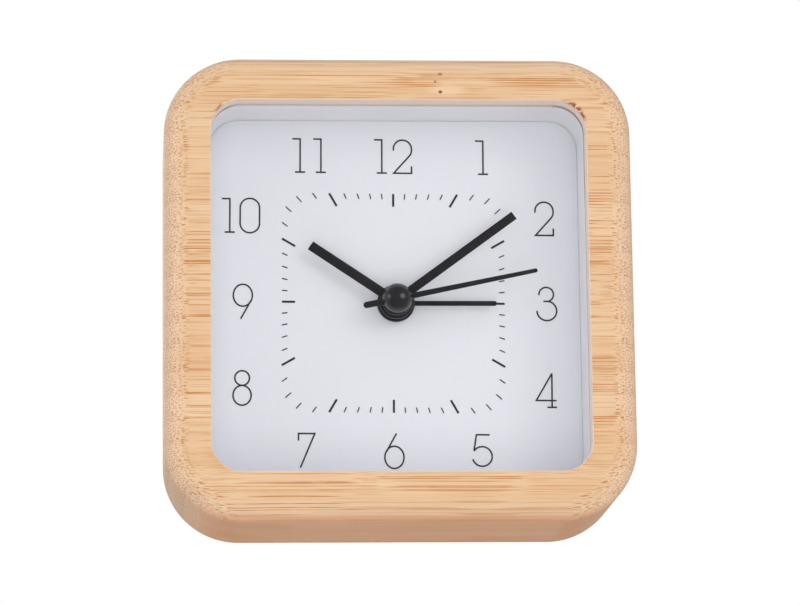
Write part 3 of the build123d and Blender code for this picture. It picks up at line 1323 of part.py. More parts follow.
# Alarm switch: a box on the inside of the cover, and the slider that runs in it
with BuildPart() as alarm_switch_base:
    slideway_length = SLIDER_FOOT_LENGTH + SWITCH_TRAVEL + 2 * SWITCH_CLEARANCE
    slideway_width = SLIDER_FOOT_WIDTH + 2 * SWITCH_CLEARANCE
    flat_block(
        COVER_FRONT_Y - SWITCH_DEPTH,
        COVER_FRONT_Y,
        slideway_length + 2 * SWITCH_WALL,
        slideway_width + 2 * SWITCH_WALL,
        SWITCH_PLACE,
    )
    flat_block(
        SLIDER_FOOT_FRONT_Y - SWITCH_CLEARANCE / 2,
        COVER_FRONT_Y,
        slideway_length,
        slideway_width,
        SWITCH_PLACE,
        Mode.SUBTRACT,
    )
save(alarm_switch_base, "alarm_switch_base")

with BuildPart() as alarm_switch_slider:
    flat_block(
        SLIDER_FOOT_FRONT_Y,
        SLIDER_FOOT_REAR_Y,
        SLIDER_FOOT_LENGTH,
        SLIDER_FOOT_WIDTH,
        SLIDER_PLACE,
    )
    flat_block(
        SLIDER_FOOT_REAR_Y,
        COVER_REAR_Y + SLIDER_STAND,
        SLIDER_STEM_LENGTH,
        SLIDER_STEM_WIDTH,
        SLIDER_PLACE,
    )
save(alarm_switch_slider, "alarm_switch_slider")
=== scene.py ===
"""Wooden desk alarm clock: the finish of every piece, laid out as an add-on.

Sizes are in metres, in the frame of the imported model: +Z is up, the dial faces
-Y and the underside rests on Z = 0. Every new piece is a surface worked out as
whole arrays, with its place in its vertices and its object at the origin.
"""

import math

import bpy
import numpy as np
from mathutils import Euler, Matrix, Vector


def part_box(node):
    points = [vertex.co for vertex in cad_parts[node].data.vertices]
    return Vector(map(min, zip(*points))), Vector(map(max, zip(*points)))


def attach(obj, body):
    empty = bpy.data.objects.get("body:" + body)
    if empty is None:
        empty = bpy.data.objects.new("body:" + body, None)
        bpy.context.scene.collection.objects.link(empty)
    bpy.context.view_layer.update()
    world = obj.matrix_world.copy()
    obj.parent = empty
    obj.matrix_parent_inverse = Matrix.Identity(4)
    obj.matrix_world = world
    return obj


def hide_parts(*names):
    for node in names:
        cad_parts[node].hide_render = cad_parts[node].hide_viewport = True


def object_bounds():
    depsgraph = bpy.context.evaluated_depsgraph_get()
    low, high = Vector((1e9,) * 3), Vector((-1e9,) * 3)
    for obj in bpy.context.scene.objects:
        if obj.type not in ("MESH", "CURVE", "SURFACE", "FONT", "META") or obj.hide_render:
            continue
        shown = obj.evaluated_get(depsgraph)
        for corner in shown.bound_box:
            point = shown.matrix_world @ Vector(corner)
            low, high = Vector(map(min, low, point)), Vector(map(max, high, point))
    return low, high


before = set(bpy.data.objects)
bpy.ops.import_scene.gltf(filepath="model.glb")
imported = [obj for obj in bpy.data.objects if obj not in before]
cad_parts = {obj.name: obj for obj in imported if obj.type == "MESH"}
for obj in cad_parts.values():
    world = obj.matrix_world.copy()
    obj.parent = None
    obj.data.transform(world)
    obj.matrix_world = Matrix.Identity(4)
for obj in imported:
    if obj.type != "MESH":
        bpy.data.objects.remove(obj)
CAD_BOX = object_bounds()

bl_info = {
    "name": "Wooden Desk Clock",
    "version": (1, 0, 0),
    "blender": (4, 5, 0),
    "location": "View3D > Sidebar > Desk Clock",
    "description": "Dresses a bamboo desk alarm clock, piece by piece, on its packed frame",
    "category": "Object",
}

MM = 0.001
WHITE = (1.0, 1.0, 1.0)
CREASE = math.radians(35.0)


# Properties

def number_kind(**kind):
    """A maker of number properties of one kind, each from its name, description and default."""
    def make(name, description, default):
        return bpy.props.FloatProperty(name=name, description=description, default=default, **kind)
    return make


length = number_kind(min=0.0, precision=5, unit="LENGTH", subtype="DISTANCE")
angle = number_kind(subtype="ANGLE")
power = number_kind(min=0.0, unit="POWER", subtype="POWER")
strength = number_kind(min=0.0)
focal_length = number_kind(min=1.0, unit="CAMERA")


def tint(name, description, *colour):
    """A linear colour."""
    return bpy.props.FloatVectorProperty(name=name, description=description, default=colour,
                                         min=0.0, max=1.0, size=3, subtype="COLOR")


class CaseSettings(bpy.types.PropertyGroup):
    """The bamboo case and its wood."""

    corner_radius: length("Corner radius", "Radius of the four corners, seen from the front", 0.018)
    front_rounding: length("Front rounding", "Radius of the rounding round the front", 0.0064)
    rear_rounding: length("Rear rounding", "Radius of the rounding round the back", 0.006)
    frame_width: length("Frame width", "Width of the wood round the window", 0.011)
    edge_ease: length("Edge ease", "Radius worn on the edge of the window", 0.0004)
    lip_depth: length("Lip depth", "Depth of the window's wooden lip", 0.005)
    cavity_inset: length("Cavity wall", "Wood left round the cavity", 0.009)
    rebate_inset: length("Rebate wall", "Wood left round the rear rebate", 0.0075)
    rebate_place: length("Rebate place", "Where the rear rebate starts, along Y", 0.017)
    bundle_pitch: length("Bundle pitch", "Distance between fibre bundles in the cane", 0.00052)
    strip_height: length("Strip height", "Height of one glued bamboo strip", 0.0057)
    light_wood: tint("Light wood", "Palest tone between the fibre bundles", 0.775, 0.533, 0.325)
    deep_wood: tint("Deep wood", "Tone of the warmer strips", 0.708, 0.440, 0.232)
    bundle_wood: tint("Bundle wood", "Tone of a fibre bundle cut along its length", 0.52, 0.195, 0.040)
    end_wood: tint("End wood", "Ground tone where the fibres are cut across", 0.83, 0.565, 0.375)
    end_bundle: tint("End bundle", "Tone of a fibre bundle cut across", 0.44, 0.225, 0.10)
    pale_thread: tint("Pale thread", "Tone of the palest fibres", 0.84, 0.62, 0.40)
    knot_wood: tint("Knot", "Tone of the specks at a node of the cane", 0.19, 0.055, 0.010)
    chip: tint("Chip", "Tone of the torn fibres at the window's corners", 0.33, 0.11, 0.05)
    # Partly the wood's own sanded tone and partly a painted sheen: faces that turn from the front are
    # made paler and greyer, as a glancing reflection would.
    edge_wood_and_sheen: tint("Edge wood", "Paler tone of the sanded edges and sides", 0.80, 0.585, 0.415)
    # Painted light: the routed lip round the window gets a paler tone that lifts it out of the shade
    # inside the window.
    lip_painted_light: tint("Lip wood", "Pale tone of the routed edge round the window", 0.92, 0.78, 0.67)
    # Painted shade: a warm, darker filter over the underside stands in for the shade that falls under
    # the case.
    underside_painted_shade: tint("Underside tint", "Filter over the tone of the underside", 1.0, 0.825, 0.78)


class DialSettings(bpy.types.PropertyGroup):
    """The dial, its print and the sleeve round it."""

    card: tint("Card", "Colour of the dial sheet", 0.800, 0.815, 0.860)
    sleeve: tint("Sleeve", "Colour of the moulded sleeve", 0.84, 0.83, 0.86)
    ink: tint("Ink", "Colour of the printed numerals and ticks", 0.022, 0.022, 0.026)
    sheet_half: length("Sheet half", "From the middle of the dial sheet to its side", 0.04405)
    sheet_corner: length("Sheet corner", "Radius of the dial sheet's corners", 0.00705)
    sheet_hole: length("Sheet hole", "Radius of the hole for the centre post", 0.003705)


class HandSettings(bpy.types.PropertyGroup):
    """The four hands and the cap over their centre."""

    thickness: length("Blade thickness", "Thickness of the stamped sheet", 0.0004)
    edge: length("Edge", "Radius of the edges left by stamping and paint", 0.00008)
    hub_thickness: length("Hub thickness", "Thickness of a hand's hub", 0.0011)
    hub_edge: length("Hub edge", "Radius of the rounded rim of a hub", 0.0002)
    hour_reach: length("Hour reach", "From the axis to the end of the hour hand", 0.0244)
    hour_width: length("Hour width", "Width of the hour hand", 0.00228)
    hour_angle: angle("Hour angle", "Clockwise from twelve", math.radians(304.0))
    minute_reach: length("Minute reach", "From the axis to the end of the minute hand", 0.0349)
    minute_width: length("Minute width", "Width of the minute hand", 0.0021)
    minute_angle: angle("Minute angle", "Clockwise from twelve", math.radians(53.7))
    second_reach: length("Second reach", "From the axis to the end of the second hand", 0.034)
    second_tail: length("Second tail", "From the axis to the end of the tail", 0.0082)
    second_tail_width: length("Tail width", "Width of the second hand at its tail", 0.0015)
    second_tip_width: length("Tip width", "Width of the second hand at its end", 0.00095)
    second_angle: angle("Second angle", "Clockwise from twelve", math.radians(78.2))
    alarm_reach: length("Alarm reach", "From the axis to the end of the alarm hand", 0.024)
    alarm_width: length("Alarm width", "Width of the alarm hand", 0.00115)
    alarm_angle: angle("Alarm angle", "Clockwise from twelve", math.radians(90.0))
    cap_radius: length("Cap radius", "Radius of the domed cap", 0.0036)
    cap_dome: length("Dome radius", "Radius of the dome, inside the cap's thin flange", 0.0035)
    cap_flange: length("Flange", "Thickness of the flange round the cap's foot", 0.0003)
    paint: tint("Hand paint", "Matt black of the hands", 0.014, 0.014, 0.016)
    gloss: tint("Cap black", "Glossy black of the cap", 0.012, 0.012, 0.014)


class BackSettings(bpy.types.PropertyGroup):
    """The knobs, screws and plastics of the back."""

    knob_flutes: bpy.props.IntProperty(name="Knob flutes", default=28, min=3,
                                       description="Number of flutes round each knob")
    knob_height: length("Knob height", "Height of a knob's fluted part", 0.0026)
    knob_edge: length("Knob edge", "Radius of a knob's edges", 0.00035)
    flute_depth: length("Flute depth", "Depth of a flute in the knob's side", 0.0004)
    dish_radius: length("Dish radius", "Radius of the dish in a knob's face", 0.0042)
    dish_depth: length("Dish depth", "Depth of the dish in a knob's face", 0.0005)
    screw_head: length("Screw head", "Radius of a screw's head", 0.0019)
    slot_width: length("Slot width", "Width of each arm of a screw's cross", 0.0005)
    slot_depth: length("Slot depth", "Depth of a screw's cross", 0.0006)
    black: tint("Black plastic", "Colour of the cover, door and knobs", 0.026, 0.026, 0.028)
    steel: tint("Screw steel", "Colour of the zinc plated screws", 0.62, 0.62, 0.60)


class StageSettings(bpy.types.PropertyGroup):
    """The floor, the lamps and the camera."""

    floor: tint("Floor", "Colour of the plain floor", 0.93, 0.93, 0.93)
    floor_side: length("Floor side", "Length of each side of the floor", 6.0)
    key_power: power("Key power", "Power of the lamp at the front right", 2.75)
    fill_power: power("Fill power", "Power of the lamp at the left", 1.92)
    low_power: power("Low power", "Power of the large lamp below the lens axis", 4.7)
    back_power: power("Back power", "Power of the lamp behind the clock", 3.0)
    ambient: strength("Ambient", "Strength of the light from all round", 0.86)
    mirrored_ambient: strength("Mirrored ambient", "Its strength in mirrors and gloss", 0.14)
    lens: focal_length("Lens", "Focal length of the camera in millimetres", 173.97)


# Surfaces

def arc(centre, radius, start, end, steps):
    """Points at centre + radius (cos t, sin t), with t running evenly from start to end degrees."""
    turn = np.radians(np.linspace(start, end, steps + 1))
    return np.array(centre) + radius * np.column_stack((np.cos(turn), np.sin(turn)))


def run(start, end, steps=1):
    """Points spaced evenly on the straight run from start to end."""
    way = np.linspace(0.0, 1.0, steps + 1)[:, None]
    return (1 - way) * np.array(start) + way * np.array(end)


def joined(*runs):
    """The runs one after another, less each point that repeats the one before it."""
    points = np.concatenate(runs)
    gap = np.linalg.norm(points - np.roll(points, 1, axis=0), axis=1)
    return points[gap > 1e-8]


def normals_of(outline):
    """Outward normals of an anticlockwise outline: the chord over both neighbours, turned a quarter."""
    chord = np.roll(outline, -1, axis=0) - np.roll(outline, 1, axis=0)
    normal = np.column_stack((chord[:, 1], -chord[:, 0]))
    return normal / np.linalg.norm(normal, axis=1, keepdims=True)


def rounded_square(half, radius, arc_steps, side_steps):
    """An anticlockwise square with round corners about the origin, and its outward normals.

    A quarter is an arc about its corner's centre and the straight side up to the
    next quarter, which is the same turned by 90 degrees: (x, y) to (-y, x).
    """
    inner = half - radius
    bend = arc((inner, inner), radius, 0, 90, arc_steps)
    side = run((inner, half), (-inner, half), side_steps)[1:-1]
    points = np.concatenate((bend, side))
    normals = np.concatenate((arc((0, 0), 1, 0, 90, arc_steps), np.tile((0.0, 1.0), (len(side), 1))))
    quarters = [np.linalg.matrix_power([(0, 1), (-1, 0)], count) for count in range(4)]
    return (np.concatenate([points @ quarter for quarter in quarters]),
            np.concatenate([normals @ quarter for quarter in quarters]))


def grid_faces(rows, columns, wrap_columns):
    """The four corners of each cell of a grid whose rows close on themselves."""
    row, column = np.meshgrid(np.arange(rows), np.arange(columns if wrap_columns else columns - 1),
                              indexing="ij")
    next_row, next_column = (row + 1) % rows, (column + 1) % columns
    corners = (row * columns + column, next_row * columns + column,
               next_row * columns + next_column, row * columns + next_column)
    return np.stack(corners, axis=-1).reshape(-1, 4)


def closed_shell(points, *groups):
    """A closed surface turned outwards: the sum of a . (b x c) over its triangles is positive."""
    volume = 0.0
    for group in groups:
        across = np.cross(points[group[:, 1:-1]], points[group[:, 2:]])
        volume += (points[group[:, :1]] * across).sum()
    turned_out = groups if volume > 0 else [group[:, ::-1] for group in groups]
    return points, list(turned_out)


def lofted(plan, along, centre, poles=()):
    """A closed surface over a grid: point (i, j) is plan (i, j) from the centre, at depth j.

    The rows close on themselves. The columns do too, or each end closes in a fan
    about a pole at the centre, which stands at the depth given for it.
    """
    rows, columns = plan.shape[:2]
    points = np.empty((rows, columns, 3))
    points[..., 0] = centre[0] + plan[..., 0]
    points[..., 1] = along
    points[..., 2] = centre[1] + plan[..., 1]
    points = points.reshape(-1, 3)
    faces = grid_faces(rows, columns, not poles)
    if not poles:
        return closed_shell(points, faces)
    ends = [(centre[0], pole, centre[1]) for pole in poles]
    start = np.arange(rows) * columns
    after = np.roll(start, -1)
    first = np.column_stack((np.full(rows, len(points)), after, start))
    last = np.column_stack((np.full(rows, len(points) + 1), start + columns - 1, after + columns - 1))
    return closed_shell(np.concatenate((points, ends)), faces, first, last)


def carried(outline, normals, profile, centre):
    """A profile carried round an outline: point (i, j) is outline i moved in by inset j, at depth j."""
    inset, along = profile.T
    return lofted(outline[:, None, :] - normals[:, None, :] * inset[None, :, None], along, centre)


def turns(steps):
    """Angles spaced evenly round a circle: 2 pi i / steps."""
    return 2 * np.pi * np.arange(steps) / steps


def turned(profile, centre, steps, relief=0.0):
    """A profile turned about an axis along Y: point (i, j) stands radius j less its relief away.

    A profile that starts and ends on the axis closes there in two poles, and any
    other closes on itself as a ring.
    """
    reach = np.tile(profile[:, 0], (steps, 1)) - relief
    along, poles = profile[:, 1], ()
    if profile[0, 0] == profile[-1, 0] == 0.0:
        poles = tuple(along[[0, -1]])
        reach, along = reach[:, 1:-1], along[1:-1]
    turn = turns(steps)
    plan = reach[:, :, None] * np.column_stack((np.sin(turn), np.cos(turn)))[:, None, :]
    return lofted(plan, along, centre, poles)


def plate(outline, levels):
    """A flat piece in its own plan: ring j is the outline moved in by inset j, at height j.

    The first and the last ring are each closed by one flat face.
    """
    inset, height = levels.T
    normals = normals_of(outline)
    plan = outline[:, None, :] - normals[:, None, :] * inset[None, :, None]
    tall = np.broadcast_to(height, plan.shape[:2])
    points = np.dstack((plan, tall)).reshape(-1, 3)
    rows, columns = plan.shape[:2]
    foot = (np.arange(rows) * columns)[None, ::-1]
    return closed_shell(points, grid_faces(rows, columns, False), foot, foot[:, ::-1] + columns - 1)


def eased_levels(thickness, edge, steps=3):
    """Inset and height of a sheet's side: a quarter round of radius edge at its foot and at its top."""
    half = thickness / 2
    foot = arc((edge, edge - half), edge, 270, 180, steps)
    top = arc((edge, half - edge), edge, 180, 90, steps)
    return joined(foot, top)


def pointed_along(shell, angle_from_top, centre, place):
    """A shell from its own plan (along, across, height) to the dial: along points at the angle."""
    points, groups = shell
    along = Vector((math.sin(angle_from_top), 0.0, math.cos(angle_from_top)))
    across = Vector((math.cos(angle_from_top), 0.0, -math.sin(angle_from_top)))
    axes = np.array([along, across, (0.0, -1.0, 0.0)])
    moved = points @ axes + np.array([centre[0], place, centre[1]])
    return closed_shell(moved, *groups)


def slot_of(material):
    """The slot a material was made for: its name, less the number that tells it from the CAD's own."""
    return material.name.split(".")[0]


def linked(name, data):
    """An object of this data, in the scene."""
    found = bpy.data.objects.new(name, data)
    bpy.context.collection.objects.link(found)
    return found


def add_piece(name, shells, body, replaced, *materials):
    """One object from closed shells, shaded smooth but for edges that turn more than CREASE."""
    points, faces, start = [], [], 0
    for shell_points, groups in shells:
        points.append(shell_points)
        for group in groups:
            faces.extend((group + start).tolist())
        start += len(shell_points)
    mesh = bpy.data.meshes.new(name)
    mesh.from_pydata(np.concatenate(points).tolist(), [], faces)
    mesh.shade_smooth()
    mesh.set_sharp_from_angle(angle=CREASE)
    for material in materials:
        mesh.materials.append(material)
    piece = linked(name, mesh)
    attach(piece, body)
    slot_of(materials[0])
    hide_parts(replaced)
    return piece


def store(piece, name, values):
    """Keeps one number for each vertex, which a material reads by its name."""
    layer = piece.data.attributes.new(name, "FLOAT", "POINT")
    layer.data.foreach_set("value", np.ascontiguousarray(values, dtype=np.float32).ravel())


def smooth_step(low, high, value):
    """3 t^2 - 2 t^3 of the value's place between low and high, held between 0 and 1."""
    t = np.clip((value - low) / (high - low), 0.0, 1.0)
    return t * t * (3 - 2 * t)


# Finishes

class Finish:
    """A node material being built round its Principled shader."""

    def __init__(self, name):
        self.material = bpy.data.materials.new(name)
        self.material.use_nodes = True
        self.tree = self.material.node_tree
        self.shader = self.tree.nodes["Principled BSDF"]

    def feed(self, socket, value):
        """Links a socket, or sets its value."""
        if isinstance(value, bpy.types.NodeSocket):
            self.tree.links.new(value, socket)
        else:
            socket.default_value = value

    def add(self, kind, sockets=None, **settings):
        """A node of this kind with its settings, and a value or link for each named socket."""
        node = self.tree.nodes.new("ShaderNode" + kind)
        for name, value in settings.items():
            setattr(node, name, value)
        for key, value in (sockets or {}).items():
            self.feed(node.inputs[key], value)
        return node

    def surface(self, colour, roughness, relief=None, **others):
        """Feeds the shader. A relief is a height, how strongly it tilts, and its depth in millimetres.

        Underscores stand for the spaces in the names of its other sockets.
        """
        if relief is not None:
            height, tilt, deep = relief
            sockets = {"Height": height, "Strength": tilt, "Distance": deep * MM}
            others["Normal"] = self.add("Bump", sockets).outputs[0]
        for name, value in {"Base_Color": colour, "Roughness": roughness, **others}.items():
            self.feed(self.shader.inputs[name.replace("_", " ")], value)
        return self.material

    def math(self, operation, first, second=0.0):
        """The result of one sum."""
        return self.add("Math", {0: first, 1: second}, operation=operation).outputs[0]

    def times(self, first, second):
        """The product of two numbers."""
        return self.math("MULTIPLY", first, second)

    def vector(self, operation, first, second):
        """The result of one sum on vectors."""
        return self.add("VectorMath", {0: first, 1: second}, operation=operation).outputs[0]

    def stored(self, name):
        """The number that is stored at each vertex under this name."""
        return self.add("Attribute", attribute_name=name).outputs["Fac"]

    def place(self, *stretch):
        """Object coordinates, stretched along each axis."""
        place = self.add("TexCoord").outputs["Object"]
        return self.vector("MULTIPLY", place, stretch or (1.0, 1.0, 1.0))

    def noise(self, *stretch, scale=1.0, detail=2.0, roughness=0.5, output="Fac"):
        """Soft noise from 0 to 1, stretched along each axis."""
        sockets = {"Scale": scale, "Detail": detail, "Roughness": roughness}
        return self.add("TexNoise", {"Vector": self.place(*stretch), **sockets}).outputs[output]

    def band(self, value, low, high, least=0.0, most=1.0):
        """The value's place between low and high, smoothed, as a number from least to most."""
        sockets = {"Value": value, "From Min": low, "From Max": high, "To Min": least, "To Max": most}
        return self.add("MapRange", sockets, interpolation_type="SMOOTHSTEP").outputs[0]

    def mixed(self, factor, first, second, blend="MIX"):
        """Two colours mixed by a factor."""
        node = self.add("Mix", {0: factor}, data_type="RGBA", blend_type=blend)
        for number, value in ((6, first), (7, second)):
            is_link = isinstance(value, bpy.types.NodeSocket)
            self.feed(node.inputs[number], value if is_link else (*value, 1.0))
        return node.outputs[2]

    def mottled(self, factor, colour, low, high, lift=0.0):
        """A colour times low to high by the factor, its pale end lifted a little and held at white."""
        pale = tuple(min(1.0, channel * high + lift) for channel in colour)
        return self.mixed(factor, tuple(channel * low for channel in colour), pale)

    def clouded(self, colour, scale, detail, low, high, lift=0.0):
        """A colour mottled in soft clouds."""
        return self.mottled(self.noise(scale=scale, detail=detail), colour, low, high, lift)

    def end_in(self, factor, first, second):
        """Ends the material in two shaders mixed by a factor."""
        both = self.add("MixShader", {0: factor, 1: first, 2: second})
        self.feed(self.tree.nodes["Material Output"].inputs["Surface"], both.outputs[0])
        return self.material


def bamboo(case):
    """Laminated bamboo: bundles that run along X through strips glued one on another.

    A bundle is a dot of a two-dimensional cell pattern in Y and Z, which drifts
    slowly along X. A face along X cuts it into a tapered streak, and a face
    across X into a dot.
    """
    finish = Finish("bamboo")
    times, band, mixed = finish.times, finish.band, finish.mixed
    end, under = finish.stored("end_grain"), finish.stored("underside")
    sanded, routed = finish.stored("sanded_edge_and_sheen"), finish.stored("window_lip")
    section, drifted_z = bundle_section(finish)
    rise, tone = strip_of(finish, drifted_z, case)
    dot, pick = bundle_dots(finish, section, 1 / case.bundle_pitch, rise, end)
    fine, fine_pick = bundle_dots(finish, section, 1.9 / case.bundle_pitch, rise, end)
    along = finish.noise(120.0, 800.0, 800.0)
    weight = times(band(pick, 0.0, 0.7, 0.28, 1.0), band(along, 0.32, 0.60, 0.55, 1.0))
    weight = finish.math("MAXIMUM", weight, times(end, 0.75))
    streak = times(dot, weight)
    thread = times(fine, band(fine_pick, 0.2, 1.0, 0.0, 0.7))
    fibre = finish.noise(70.0, 3600.0, 3600.0, detail=3.0, roughness=0.65)
    cloud = finish.noise(18.0, 110.0, 110.0)
    warmth = finish.math("ADD", times(tone, 0.5), band(cloud, 0.3, 0.7, 0.0, 0.5))
    ground = mixed(warmth, case.light_wood, case.deep_wood)
    ground = mixed(band(fibre, 0.55, 0.80, 0.0, 0.55), ground, case.pale_thread)
    # Partly sanded wood, partly painted sheen: faces that turn away from the front are mixed toward the
    # paler, greyer edge tone.
    ground = mixed(times(sanded, 0.6), ground, case.edge_wood_and_sheen)
    ground = mixed(times(end, 0.8), ground, case.end_wood)
    ground = finish.add("VectorMath", {0: ground, "Scale": band(fibre, 0.2, 0.7, 0.93, 1.02)},
                        operation="SCALE").outputs[0]
    bundle = mixed(end, case.bundle_wood, case.end_bundle)
    amount = finish.math("MAXIMUM", streak, thread)
    amount = times(amount, band(end, 0.0, 1.0, 0.95, 0.78))
    amount = times(amount, band(under, 0.0, 1.0, 1.0, 0.45))
    colour = knot(finish, mixed(amount, ground, bundle), case)
    # Painted light: the routed lip is mixed toward a paler tone that stands in for light it does not
    # get.
    colour = mixed(times(routed, 0.7), colour, case.lip_painted_light)
    chips = finish.noise(800.0, 900.0, 1300.0, detail=3.0)
    chips = times(band(finish.stored("worn_edge"), 0.10, 0.65), band(chips, 0.40, 0.52))
    # Painted shade: the underside is multiplied by a warm, darker filter for the shade under the case.
    colour = mixed(under, mixed(chips, colour, case.chip), case.underside_painted_shade, "MULTIPLY")
    height = finish.math("SUBTRACT", fibre, times(dot, 0.6))
    height = finish.math("SUBTRACT", height, times(chips, 1.5))
    return finish.surface(colour, band(fibre, 0.2, 0.8, 0.42, 0.56), (height, 0.35, 0.03))


def bundle_section(finish):
    """The place in Y and Z that each point's fibre comes from, after its slow drift along X."""
    drift = finish.noise(22.0, 60.0, 60.0, detail=1.0, output="Color")
    drift = finish.vector("SUBTRACT", drift, (0.5, 0.5, 0.5))
    drift = finish.vector("MULTIPLY", drift, (0.0, 1.9 * MM, 0.4 * MM))
    where = finish.vector("ADD", finish.place(), drift)
    _, y, z = finish.add("SeparateXYZ", {0: where}).outputs
    return finish.add("CombineXYZ", {0: y, 1: z}).outputs[0], z


def strip_of(finish, z, case):
    """How far up its glued strip a point is, from 0 to 1, and the strip's own random tone."""
    strip = finish.math("DIVIDE", z, case.strip_height)
    number = finish.math("FLOOR", strip)
    tone = finish.add("TexWhiteNoise", {"W": number}, noise_dimensions="1D").outputs["Value"]
    return finish.math("SUBTRACT", strip, number), tone


def bundle_dots(finish, section, scale, rise, end):
    """Soft dots round the points of a cell pattern, and their picks.

    A dot is smaller at its strip's pith side, and wider where it is cut across.
    """
    cells = finish.add("TexVoronoi", {"Vector": section, "Scale": scale, "Randomness": 0.8},
                       voronoi_dimensions="2D")
    thin = finish.times(finish.band(rise, 0.0, 0.9), 0.09)
    thin = finish.math("SUBTRACT", thin, finish.times(end, 0.08))
    reach = finish.math("ADD", cells.outputs["Distance"], thin)
    dot = finish.math("SUBTRACT", 1.0, finish.band(reach, 0.23, 0.38))
    return dot, finish.add("SeparateColor", {0: cells.outputs["Color"]}).outputs[0]


def knot(finish, colour, case):
    """The node of the cane on the top of the frame: brown specks in a paler, smeared patch.

    Each patch or speck fades with the distance from its middle, measured in a
    space that is squeezed along X for a patch that is longer than it is tall.
    """
    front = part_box("wooden_case")[0].y
    for x, z, radius, squeeze, most, tone in (
        (11.5, 101.3, 2.2, 0.35, 0.55, case.pale_thread),
        (7.0, 105.0, 1.0, 0.25, 0.45, case.bundle_wood),
        (9.8, 100.9, 0.68, 1.0, 1.0, case.knot_wood),
        (9.8, 105.3, 0.75, 0.8, 0.75, case.knot_wood),
        (8.6, 103.4, 0.50, 1.0, 0.7, case.knot_wood),
        (12.4, 105.5, 0.42, 1.0, 0.5, case.knot_wood),
    ):
        scale = (squeeze, 1.0, 1.2)
        middle_of_mark = (squeeze * x * MM, front, 1.2 * z * MM)
        away = finish.add("VectorMath", {0: finish.place(*scale), 1: middle_of_mark},
                          operation="DISTANCE").outputs["Value"]
        mask = finish.band(away, 0.25 * radius * MM, radius * MM, most, 0.0)
        colour = finish.mixed(mask, colour, tone)
    return colour


def moulded(name, colour, roughness, grain=1800.0, relief=0.012):
    """Moulded plastic: one colour, clouded a little, with a fine spark-eroded grain."""
    finish = Finish(name)
    tone = finish.clouded(colour, 60.0, 3.0, 0.94, 1.04, lift=0.001)
    skin = finish.noise(scale=grain, detail=3.0, roughness=0.6)
    rough = finish.band(skin, 0.2, 0.8, roughness - 0.05, roughness + 0.06)
    return finish.surface(tone, rough, (skin, 0.5, relief))


def card(colour):
    """Matt printed card: faint long fibres under a smooth coat."""
    finish = Finish("white_card")
    pulp = finish.noise(500.0, 500.0, 900.0, detail=4.0, roughness=0.6)
    cloud = finish.noise(scale=35.0)
    whole = finish.math("ADD", finish.times(pulp, 0.5), finish.times(cloud, 0.5))
    tone = finish.mottled(whole, colour, 0.975, 1.012)
    return finish.surface(tone, finish.band(pulp, 0.2, 0.8, 0.50, 0.62), (pulp, 0.2, 0.004))


def ink(colour):
    """Screen ink: a dense black with the slight mottle of its mesh."""
    finish = Finish("black_ink")
    mesh = finish.noise(scale=9000.0, detail=1.0)
    return finish.surface(finish.mottled(mesh, colour, 0.8, 1.6), finish.band(mesh, 0.3, 0.7, 0.45, 0.6))


def painted_metal(colour):
    """Matt black paint on sheet: fine orange peel, a little rubbed."""
    finish = Finish("black_hand")
    peel = finish.noise(scale=2600.0)
    tone = finish.clouded(colour, 300.0, 3.0, 0.75, 1.5)
    rough = finish.band(peel, 0.25, 0.75, 0.42, 0.58)
    return finish.surface(tone, rough, (peel, 0.4, 0.01), Specular_IOR_Level=0.25)


def glossy(colour):
    """Polished black plastic with faint rub marks."""
    finish = Finish("black_cap")
    rub = finish.noise(900.0, 900.0, 2400.0, detail=3.0)
    rough = finish.band(rub, 0.3, 0.8, 0.20, 0.235)
    return finish.surface(finish.mottled(rub, colour, 1.0, 1.5), rough, Specular_IOR_Level=0.7)


def metal(name, colour, roughness, drawn=1.0):
    """Bare metal, clouded, with the marks of rolling, or of drawing along X."""
    finish = Finish(name)
    marks = finish.noise(1500.0 * drawn, 1500.0, 1500.0, detail=4.0, roughness=0.65)
    tone = finish.clouded(colour, 180.0, 3.0, 0.82, 1.0)
    rough = finish.band(marks, 0.25, 0.75, roughness - 0.08, roughness + 0.10)
    return finish.surface(tone, rough, (marks, 0.4, 0.004), Metallic=1.0)


def wound_wire():
    """Enamelled copper wire: fine turns side by side along the coil."""
    finish = Finish("copper_wire")
    sockets = {"Vector": finish.place(), "Scale": 1800.0, "Distortion": 0.6, "Detail": 1.0}
    turn = finish.add("TexWave", sockets, wave_type="BANDS", bands_direction="X").outputs["Fac"]
    tone = finish.mixed(turn, (0.30, 0.09, 0.03), (0.72, 0.27, 0.11))
    return finish.surface(tone, finish.band(turn, 0.0, 1.0, 0.42, 0.26), (turn, 0.6, 0.05), Metallic=1.0)


def laminate():
    """Circuit laminate: solder mask over a faint glass weave."""
    finish = Finish("circuit_laminate")
    grey = {name: (level, level, level, 1.0)
            for name, level in (("Color1", 0.9), ("Color2", 0.7), ("Mortar", 0.3))}
    sockets = {"Vector": finish.place(), "Scale": 900.0, "Mortar Size": 0.06, **grey}
    weave = finish.add("TexBrick", sockets).outputs
    cloud = finish.noise(scale=400.0, detail=3.0)
    mask = finish.mixed(cloud, (0.010, 0.075, 0.028), (0.018, 0.125, 0.045))
    tone = finish.mixed(0.35, mask, weave["Color"], "MULTIPLY")
    return finish.surface(tone, finish.band(cloud, 0.3, 0.7, 0.28, 0.42), (weave["Fac"], 0.3, 0.01))


